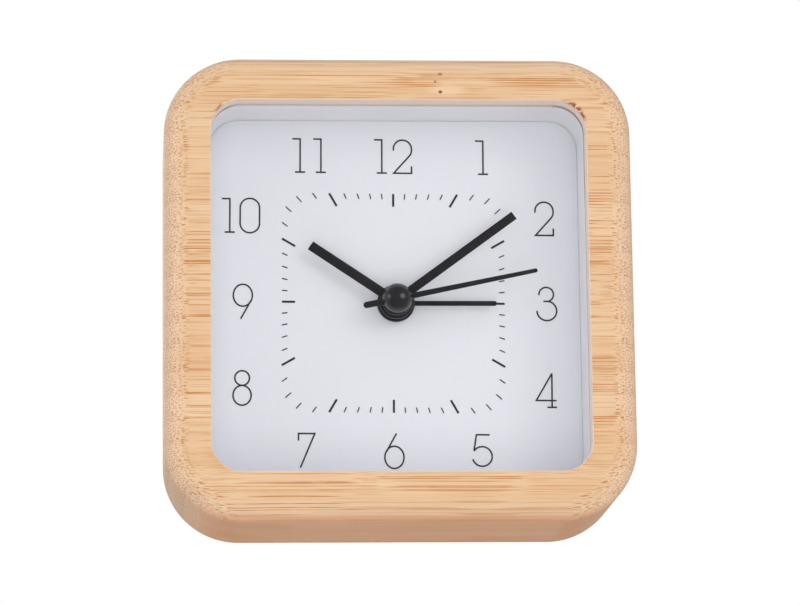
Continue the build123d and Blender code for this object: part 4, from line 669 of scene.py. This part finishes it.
def cell_jacket():
    """The battery's printed jacket: a dark body, a copper-coloured band and a bare steel end."""
    finish = Finish("cell_jacket")
    low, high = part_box("battery")
    x = finish.add("SeparateXYZ", {0: finish.place()}).outputs[0]
    span = high.x - low.x
    warm = finish.math("GREATER_THAN", x, high.x - 0.30 * span)
    bare = finish.math("GREATER_THAN", x, high.x - 0.032 * span)
    foil = finish.noise(120.0, 1400.0, 1400.0, detail=3.0)
    dark = finish.mixed(foil, (0.020, 0.021, 0.024), (0.034, 0.035, 0.040))
    copper = finish.mixed(foil, (0.52, 0.22, 0.08), (0.62, 0.28, 0.11))
    tone = finish.mixed(bare, finish.mixed(warm, dark, copper), (0.58, 0.58, 0.57))
    rough = finish.band(foil, 0.2, 0.8, 0.24, 0.38)
    return finish.surface(tone, rough, Metallic=finish.math("MAXIMUM", warm, bare))


def clear_lens():
    """Clear sheet: it lets light straight through and mirrors a little more at a slant.

    Only the side that a ray meets first mirrors it, so nothing is caught inside the sheet.
    """
    finish = Finish("clear_lens")
    dust = finish.noise(scale=700.0, detail=4.0, roughness=0.7)
    mirror = finish.add("BsdfGlossy", {"Color": (0.9, 0.9, 0.9, 1.0),
                                       "Roughness": finish.band(dust, 0.3, 0.9, 0.02, 0.06)})
    through = finish.add("BsdfTransparent", {"Color": (0.99, 0.99, 0.99, 1.0)})
    slant = finish.add("Fresnel", {"IOR": 1.49}).outputs[0]
    leaving = finish.add("NewGeometry").outputs["Backfacing"]
    gloss = finish.times(slant, finish.math("SUBTRACT", 1.0, leaving))
    finish.tree.nodes.remove(finish.shader)
    return finish.end_in(gloss, through.outputs[0], mirror.outputs[0])


def floor_paint(colour):
    """A plain floor that is only seen from above: its underside is clear.

    Close under the clock it carries a painted contact shadow, darker where the clock is near, because
    the light from below passes it and casts none.
    """
    finish = Finish("plain_floor")
    tone = finish.clouded(colour, 3.0, 2.0, 0.99, 1.0)
    # Painted shadow: the floor's tone falls toward dark grey wherever ambient occlusion finds the clock
    # close by.
    shadow_free = finish.add("AmbientOcclusion", {"Distance": 0.06}, samples=12).outputs["AO"]
    finish.surface(finish.mixed(shadow_free, (0.16, 0.17, 0.18), tone), 0.75)
    under = finish.add("NewGeometry").outputs["Backfacing"]
    clear = finish.add("BsdfTransparent")
    return finish.end_in(under, finish.shader.outputs[0], clear.outputs[0])


def dress(material, *names):
    """Gives a material to CAD nodes that stay as they are."""
    for name in names:
        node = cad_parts[name]
        node.data.materials.clear()
        node.data.materials.append(material)


def middle(node):
    """The middle of a node's box."""
    low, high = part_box(node)
    return (low + high) / 2


def axis_of(node):
    """Where a node's axis along Y stands: the X and Z of its middle."""
    centre = middle(node)
    return centre.x, centre.z


# Pieces

def inset_and_depth(case, front, rear):
    """One closed section of the case's wall as inset and depth, from its side over its front."""
    fold, back, ease = case.front_rounding, case.rear_rounding, case.edge_ease
    width, lip = case.frame_width, front + case.lip_depth
    cavity, rebate, shoulder = case.cavity_inset, case.rebate_inset, case.rebate_place
    corners = [(width, front + ease), (width, lip), (cavity, lip), (cavity, shoulder),
               (rebate, shoulder), (rebate, rear), (back, rear)]
    return joined(
        arc((fold, front + fold), fold, 180, 270, 18),
        run((fold, front), (width - ease, front), 8),
        arc((width - ease, front + ease), ease, 270, 360, 5),
        *map(run, corners, corners[1:], (6, 2, 6, 1, 3, 2)),
        arc((back, rear - back), back, 90, 180, 16),
        run((0.0, rear - back), (0.0, front + fold), 16),
    )


def mark(piece, normals, profile, case):
    """Stores how each point's surface lies to the fibres, and how sanded or worn it is.

    Across the fibres is the X share of the surface's normal: the outline's
    normal times the profile's own. The underside is where its Z share is down;
    it carries a painted warm shade and calmer grain. A sanded edge is any other
    face that doesn't look forward or back, and is paler partly from sanding and
    partly from a painted sheen. The lip is the routed face round the window,
    where a paler tone is painted as light. Wear stands on the window's edge,
    most where the outline turns at the top right, and a little on the rounding
    at the lower left.
    """
    out = normals_of(profile)
    inset, back = profile[:, 0], profile[:, 1] - profile[:, 1].min()
    right, up = normals.T
    across = np.abs(normals[:, :1] * out[None, :, 0])
    store(piece, "end_grain", smooth_step(0.15, 0.75, across))
    # The underside mask carries a painted warm shade as well as calmer grain.
    under = smooth_step(0.65, 1.0, normals[:, 1:] * np.minimum(out[None, :, 0], 0.0))
    store(piece, "underside", under)
    # This mask carries both the wood's sanded tone and a painted sheen on the edges and sides.
    store(piece, "sanded_edge_and_sheen", smooth_step(0.2, 0.9, np.abs(out[:, 0])) * (1 - under))
    # The lip mask is where painted light lifts the routed lip's tone.
    lip = smooth_step(0.4, 0.9, out[:, 0]) * (back < case.lip_depth)
    store(piece, "window_lip", np.broadcast_to(lip, under.shape))
    edge = np.exp(-((inset - case.frame_width) / (0.8 * MM)) ** 2) * np.exp(-(back / (1.2 * MM)) ** 2)
    corner = 4 * (right * up) ** 2
    side = np.where(up > 0, np.where(right > 0, 1.0, 0.45), 0.15)
    window = (0.08 + 0.92 * side * corner)[:, None] * edge
    fold = smooth_step(0.15, 0.6, -out[:, 0]) * (back < case.front_rounding)
    outer = 0.26 * corner * ((right < 0) & (up < 0))
    store(piece, "worn_edge", np.maximum(window, outer[:, None] * fold))


def dial_sheet(dial):
    """The dial sheet: each point of its outline is joined to the hole by a straight run."""
    low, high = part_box("dial_face")
    arbor = axis_of("second_hand_cap")
    outline, _ = rounded_square(dial.sheet_half, dial.sheet_corner, 16, 12)
    away = outline + np.subtract(axis_of("dial_face"), arbor)
    reach = np.linalg.norm(away, axis=1, keepdims=True)
    hole = dial.sheet_hole * away / reach
    plan = np.stack((away, hole, hole, away), axis=1)
    shell = lofted(plan, (low.y, low.y, high.y, high.y), arbor)
    add_piece("dial_sheet", [shell], "case", "dial_face", card(dial.card))


def blade(tail, reach, tail_width, tip_width, round_end):
    """A bar from -tail to reach, whose four corners are arcs and whose width runs evenly."""
    tail_round = tail_width / 2 if tail else tail_width / 4
    tip_round = tip_width / 2 if round_end else tip_width / 16
    tip, tip_side = reach - tip_round, tip_width / 2 - tip_round
    end, end_side = tail_round - tail, tail_width / 2 - tail_round
    return joined(*(arc(centre, radius, start, start + 90, 10) for centre, radius, start in (
        ((tip, tip_side), tip_round, 0), ((end, end_side), tail_round, 90),
        ((end, -end_side), tail_round, 180), ((tip, -tip_side), tip_round, 270),
    )))


def hand(name, hands, paint, gloss, outline, turn, hub, bore):
    """One hand: a bevelled blade that runs into the side of its hub."""
    node = f"{name}_hand"
    axis, place = axis_of("second_hand_cap"), middle(node).y
    bar = plate(outline, eased_levels(hands.thickness, hands.edge))
    bar = pointed_along(bar, turn, axis, place)
    half, edge = hands.hub_thickness / 2, hands.hub_edge
    side = joined(arc((hub - edge, place - half + edge), edge, 270, 360, 5),
                  arc((hub - edge, place + half - edge), edge, 0, 90, 5))
    disc = turned(joined([(bore, place - half)], side, [(bore, place + half)]), axis, 96)
    piece = add_piece(f"{name}_pointer", [bar, disc], node, node, paint, gloss)
    finish_of_face = np.ones(len(piece.data.polygons), dtype=np.int32)
    finish_of_face[:sum(len(group) for group in bar[1])] = 0
    piece.data.polygons.foreach_set("material_index", finish_of_face)


def cap(hands, gloss):
    """The cap: a quarter ellipse that stands on a thin flange."""
    low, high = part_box("second_hand_cap")
    base, top = high.y, low.y
    edge, foot = hands.cap_flange / 2, base - hands.cap_flange
    rim = arc((hands.cap_radius - edge, base - edge), edge, 90, -90, 8)
    dome = arc((0.0, 0.0), 1.0, 0, 90, 28) * (hands.cap_dome, top - foot) + (0.0, foot)
    dome[-1, 0] = 0.0
    shell = turned(joined([(0.0, base)], rim, dome), axis_of("second_hand_cap"), 96)
    add_piece("centre_cap", [shell], "second_hand", "second_hand_cap", gloss)


def knob(name, body, back, material):
    """A knob: its side has flutes, each a rounded valley of a cosine raised to a power."""
    node = f"{name}_set_knob"
    low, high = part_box(node)
    radius, rear = (high.x - low.x) / 2, high.y
    front, edge, flat = rear - back.knob_height, back.knob_edge, back.dish_radius + 0.3 * MM
    rim = joined(
        [(0.0, front)],
        run((1.0 * MM, front), (radius - edge, front), 4),
        arc((radius - edge, front + edge), edge, 270, 360, 4),
        run((radius, front + edge), (radius, rear - edge), 4),
        arc((radius - edge, rear - edge), edge, 0, 90, 5),
        run((radius - edge, rear), (flat, rear), 2),
    )
    hollow = np.linspace(flat, 0.0, 13)[1:]
    fall = 1 - smooth_step(0.55 * back.dish_radius, flat, hollow)
    profile = joined(rim, np.column_stack((hollow, rear - back.dish_depth * fall)))
    steps = 12 * back.knob_flutes
    wave = (0.5 + 0.5 * np.cos(back.knob_flutes * turns(steps))) ** 1.6
    cut = back.flute_depth * smooth_step(radius - 1.2 * edge, radius - 0.5 * edge, profile[:, 0])
    shell = turned(profile, axis_of(node), steps, np.outer(wave, cut))
    add_piece(f"{name}_knob", [shell], body, node, material)


def screws(back, material):
    """The cover's four screws: each has a plain shank that tapers at its tip, and a crossed head."""
    low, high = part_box("cover_screws")
    head, shank, taper, tip = back.screw_head, 0.95 * MM, 0.9 * MM, 0.3 * MM
    neck = high.y - 1.2 * MM
    profile = joined([(0.0, neck)], run((shank, neck), (shank, low.y + taper), 4),
                     [(tip, low.y), (0.0, low.y)])
    shells = []
    for x in (low.x + head, high.x - head):
        for z in (low.z + head, high.z - head):
            shells.append(screw_head(back, (x, z), high.y, neck))
            shells.append(turned(profile, (x, z), 24))
    add_piece("cover_screw_heads", shells, "case", "cover_screws", material)


def screw_head(back, centre, rear, neck):
    """Height over the head is a parabola in the distance, less a step at each arm of the cross."""
    turn = turns(96)
    reach = np.linspace(0.02, 1.0, 22) * back.screw_head
    round_plan = np.column_stack((np.cos(turn), np.sin(turn)))[:, None, :]
    a, b = np.moveaxis(np.abs(reach[None, :, None] * round_plan), -1, 0)
    arm, width, soft = 1.25 * MM, back.slot_width / 2, 0.06 * MM
    cross = [smooth_step(width + soft, width - soft, beside) * smooth_step(arm, arm - 2 * soft, along)
             for along, beside in ((a, b), (b, a))]
    dome = 0.3 * MM * (reach / back.screw_head) ** 2
    top = rear - dome - back.slot_depth * np.maximum(*cross)
    tall = np.concatenate((top, np.full((len(turn), 1), neck)), axis=1)
    plan = np.append(reach, back.screw_head)[None, :, None] * round_plan
    return lofted(plan, tall, centre, (rear - back.slot_depth, neck))


# Stage

def lay_floor(stage):
    """A square on Z = 0 that takes the object's shadow and gives it none."""
    half = stage.floor_side / 2
    corners = [(-half, -half, 0.0), (half, -half, 0.0), (half, half, 0.0), (-half, half, 0.0)]
    mesh = bpy.data.meshes.new("floor")
    mesh.from_pydata(corners, [], [(0, 1, 2, 3)])
    mesh.materials.append(floor_paint(stage.floor))
    floor = linked("floor", mesh)
    floor.visible_shadow = floor.visible_diffuse = floor.visible_glossy = False


def fill_world(scene, stage):
    """Even light from all round, dim in mirrors, with a white ground behind the object."""
    world = bpy.data.worlds.new("studio")
    scene.world = world
    world.use_nodes = True
    tree = world.node_tree
    tree.nodes.clear()
    seen = tree.nodes.new("ShaderNodeLightPath")
    last = None
    for ray, light, colour in (
        (None, stage.ambient, (0.97, 0.98, 1.0)),
        ("Is Glossy Ray", stage.mirrored_ambient, WHITE),
        ("Is Camera Ray", 1.0, WHITE),
    ):
        ground = tree.nodes.new("ShaderNodeBackground")
        ground.inputs["Strength"].default_value = light
        ground.inputs["Color"].default_value = (*colour, 1.0)
        if last is None:
            last = ground
            continue
        both = tree.nodes.new("ShaderNodeMixShader")
        for number, output in enumerate((seen.outputs[ray], last.outputs[0], ground.outputs[0])):
            tree.links.new(output, both.inputs[number])
        last = both
    output = tree.nodes.new("ShaderNodeOutputWorld")
    tree.links.new(last.outputs[0], output.inputs["Surface"])


def hang_lamp(name, watts, side, place, aim, mirrored):
    """A square soft lamp that looks at the aim, and may be mirrored in glossy pieces."""
    light = bpy.data.lights.new(name, "AREA")
    light.energy = watts
    light.size = side
    lamp = linked(name, light)
    lamp.visible_glossy = mirrored
    turn = (aim - place).to_track_quat("-Z", "Y").to_matrix().to_4x4()
    lamp.matrix_world = Matrix.Translation(place) @ turn


def stand_camera(scene, stage):
    """The camera turned by its heading to the right, its climb and its roll, in radians."""
    place = Vector((-0.0617, -0.8996, -0.1284))
    heading, climb, roll = 0.0699, 0.2009, -0.0129
    data = bpy.data.cameras.new("photo_camera")
    data.lens = stage.lens
    data.sensor_width = 36.0
    data.clip_start = 0.01
    camera = linked("photo_camera", data)
    level = Euler((math.pi / 2 + climb, 0.0, -heading)).to_matrix().to_4x4()
    camera.matrix_world = Matrix.Translation(place) @ level @ Matrix.Rotation(roll, 4, "Z")
    scene.camera = camera


# Operators

class ClockOperator:
    """What the operators share."""

    bl_options = {"REGISTER", "UNDO"}


class DESKCLOCK_OT_case(ClockOperator, bpy.types.Operator):
    """Carries the case's profile round its rounded square and gives it the bamboo"""

    bl_idname = "deskclock.case"
    bl_label = "Wooden case"

    def execute(self, context):
        case = context.scene.deskclock_case
        low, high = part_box("wooden_case")
        outline, normals = rounded_square((high.x - low.x) / 2, case.corner_radius, 28, 44)
        profile = inset_and_depth(case, low.y, high.y)
        shell = carried(outline, normals, profile, (0.0, (low.z + high.z) / 2))
        piece = add_piece("bamboo_case", [shell], "case", "wooden_case", bamboo(case))
        mark(piece, normals, profile, case)
        return {"FINISHED"}


class DESKCLOCK_OT_dial(ClockOperator, bpy.types.Operator):
    """Gives the lens, the sleeve and the print their finishes, and rules the dial sheet"""

    bl_idname = "deskclock.dial"
    bl_label = "Dial and lens"

    def execute(self, context):
        dial = context.scene.deskclock_dial
        dress(clear_lens(), "window_lens")
        dress(moulded("white_moulding", dial.sleeve, 0.42), "dial_tray")
        dial_sheet(dial)
        dress(ink(dial.ink), "minute_track", "hour_numerals")
        return {"FINISHED"}


class DESKCLOCK_OT_hands(ClockOperator, bpy.types.Operator):
    """Stamps the four hands out of thin plate, with their hubs, and turns the cap"""

    bl_idname = "deskclock.hands"
    bl_label = "Hands and cap"

    def execute(self, context):
        hands = context.scene.deskclock_hands
        paint, gloss = painted_metal(hands.paint), glossy(hands.gloss)
        for name, tail, tail_width, tip_width, round_end, hub, bore in (
            ("alarm", 0.0, hands.alarm_width, hands.alarm_width, True, 4.5, 2.0),
            ("hour", 0.0, hands.hour_width, hands.hour_width, False, 4.1, 1.5),
            ("minute", 0.0, hands.minute_width, hands.minute_width, False, 3.6, 0.8),
            ("second", hands.second_tail, hands.second_tail_width, hands.second_tip_width, True,
             3.0, 0.0),
        ):
            reach, turn = getattr(hands, f"{name}_reach"), getattr(hands, f"{name}_angle")
            outline = blade(tail, reach, tail_width, tip_width, round_end)
            hand(name, hands, paint, gloss, outline, turn, hub * MM, bore * MM)
        cap(hands, gloss)
        return {"FINISHED"}


class DESKCLOCK_OT_back(ClockOperator, bpy.types.Operator):
    """Turns the fluted knobs and the cover's screws, and finishes the black plastics and the steel"""

    bl_idname = "deskclock.back"
    bl_label = "Back"

    def execute(self, context):
        back = context.scene.deskclock_back
        dress(moulded("black_cover", back.black, 0.44, 1400.0, 0.03), "rear_cover", "battery_door")
        grip = moulded("black_knob", back.black, 0.36, 2400.0, 0.012)
        dress(grip, "alarm_switch_slider")
        knob("time", "time_setting", back, grip)
        knob("alarm", "alarm_setting", back, grip)
        steel = metal("screw_steel", back.steel, 0.3)
        dress(steel, "movement_screws")
        screws(back, steel)
        return {"FINISHED"}


class DESKCLOCK_OT_inside(ClockOperator, bpy.types.Operator):
    """Gives the movement, the alarm and the battery their finishes"""

    bl_idname = "deskclock.inside"
    bl_label = "Movement"

    def execute(self, context):
        dress(moulded("grey_moulding", (0.33, 0.33, 0.34), 0.5),
              "movement_front_plate", "movement_centre_plate", "movement_housing", "alarm_switch_base")
        dress(moulded("wheel_moulding", (0.74, 0.70, 0.60), 0.4),
              "alarm_wheel", "hour_wheel", "cannon_pinion", "setting_wheel", "alarm_pinion",
              "centre_wheel", "third_wheel", "second_wheel", "intermediate_wheel", "coil_bobbin")
        dress(moulded("rotor_magnet", (0.05, 0.05, 0.055), 0.35), "motor_rotor")
        dress(metal("stator_steel", (0.50, 0.50, 0.50), 0.38, 0.15), "motor_stator", "coil_core")
        dress(wound_wire(), "coil_winding")
        dress(laminate(), "circuit_board")
        dress(moulded("black_resin", (0.012, 0.012, 0.013), 0.25), "control_chip")
        dress(metal("crystal_can", (0.70, 0.70, 0.69), 0.22), "quartz_crystal")
        dress(metal("spring_brass", (0.72, 0.47, 0.18), 0.3, 0.2), "alarm_contact_leaf")
        dress(cell_jacket(), "battery")
        dress(metal("plated_contact", (0.70, 0.69, 0.66), 0.28),
              "battery_contact_positive", "battery_contact_negative")
        dress(moulded("buzzer_case", (0.02, 0.02, 0.021), 0.4), "buzzer")
        return {"FINISHED"}


class DESKCLOCK_OT_stage(ClockOperator, bpy.types.Operator):
    """Lays the floor, hangs the lamps and stands the camera where the photographer stood"""

    bl_idname = "deskclock.stage"
    bl_label = "Stage"

    def execute(self, context):
        stage = context.scene.deskclock_stage
        lay_floor(stage)
        fill_world(context.scene, stage)
        aim = Vector((0.0, 0.0, (CAD_BOX[0].z + CAD_BOX[1].z) / 2))
        for name, watts, side, place, mirrored in (
            ("key_lamp", stage.key_power, 0.6, (0.69, -1.10, 0.34), True),
            ("fill_lamp", stage.fill_power, 0.5, (-1.16, -0.59, 0.34), True),
            ("low_lamp", stage.low_power, 0.8, (0.0, -1.4, -0.45), False),
            ("back_lamp", stage.back_power, 0.8, (-0.55, 1.2, 0.6), True),
        ):
            hang_lamp(name, watts, side, Vector(place), aim, mirrored)
        stand_camera(context.scene, stage)
        context.scene.view_settings.view_transform = "Standard"
        return {"FINISHED"}


class DESKCLOCK_PT_panel(bpy.types.Panel):
    """Lists the clock's pieces and their settings"""

    bl_idname = "DESKCLOCK_PT_panel"
    bl_label = "Desk Clock"
    bl_space_type = "VIEW_3D"
    bl_region_type = "UI"
    bl_category = "Desk Clock"

    def draw(self, context):
        for operator, group in STEPS:
            box = self.layout.box()
            box.operator(operator.bl_idname)
            if group is not None:
                settings = getattr(context.scene, settings_name(operator))
                for name in group.__annotations__:
                    box.prop(settings, name)


STEPS = (
    (DESKCLOCK_OT_stage, StageSettings),
    (DESKCLOCK_OT_case, CaseSettings),
    (DESKCLOCK_OT_dial, DialSettings),
    (DESKCLOCK_OT_hands, HandSettings),
    (DESKCLOCK_OT_back, BackSettings),
    (DESKCLOCK_OT_inside, None),
)


def settings_name(operator):
    """What the scene calls the settings of a step."""
    return operator.bl_idname.replace(".", "_")


def register():
    """Registers the settings, the operators and the panel."""
    for operator, group in STEPS:
        if group is not None:
            bpy.utils.register_class(group)
            setattr(bpy.types.Scene, settings_name(operator), bpy.props.PointerProperty(type=group))
        bpy.utils.register_class(operator)
    bpy.utils.register_class(DESKCLOCK_PT_panel)


def unregister():
    """Takes them off again, last first."""
    bpy.utils.unregister_class(DESKCLOCK_PT_panel)
    for operator, group in reversed(STEPS):
        bpy.utils.unregister_class(operator)
        if group is not None:
            delattr(bpy.types.Scene, settings_name(operator))
            bpy.utils.unregister_class(group)


def main():
    """Makes the whole clock."""
    register()
    for operator, _ in STEPS:
        group, action = operator.bl_idname.split(".")
        getattr(getattr(bpy.ops, group), action)()


if __name__ == "__main__":
    main()
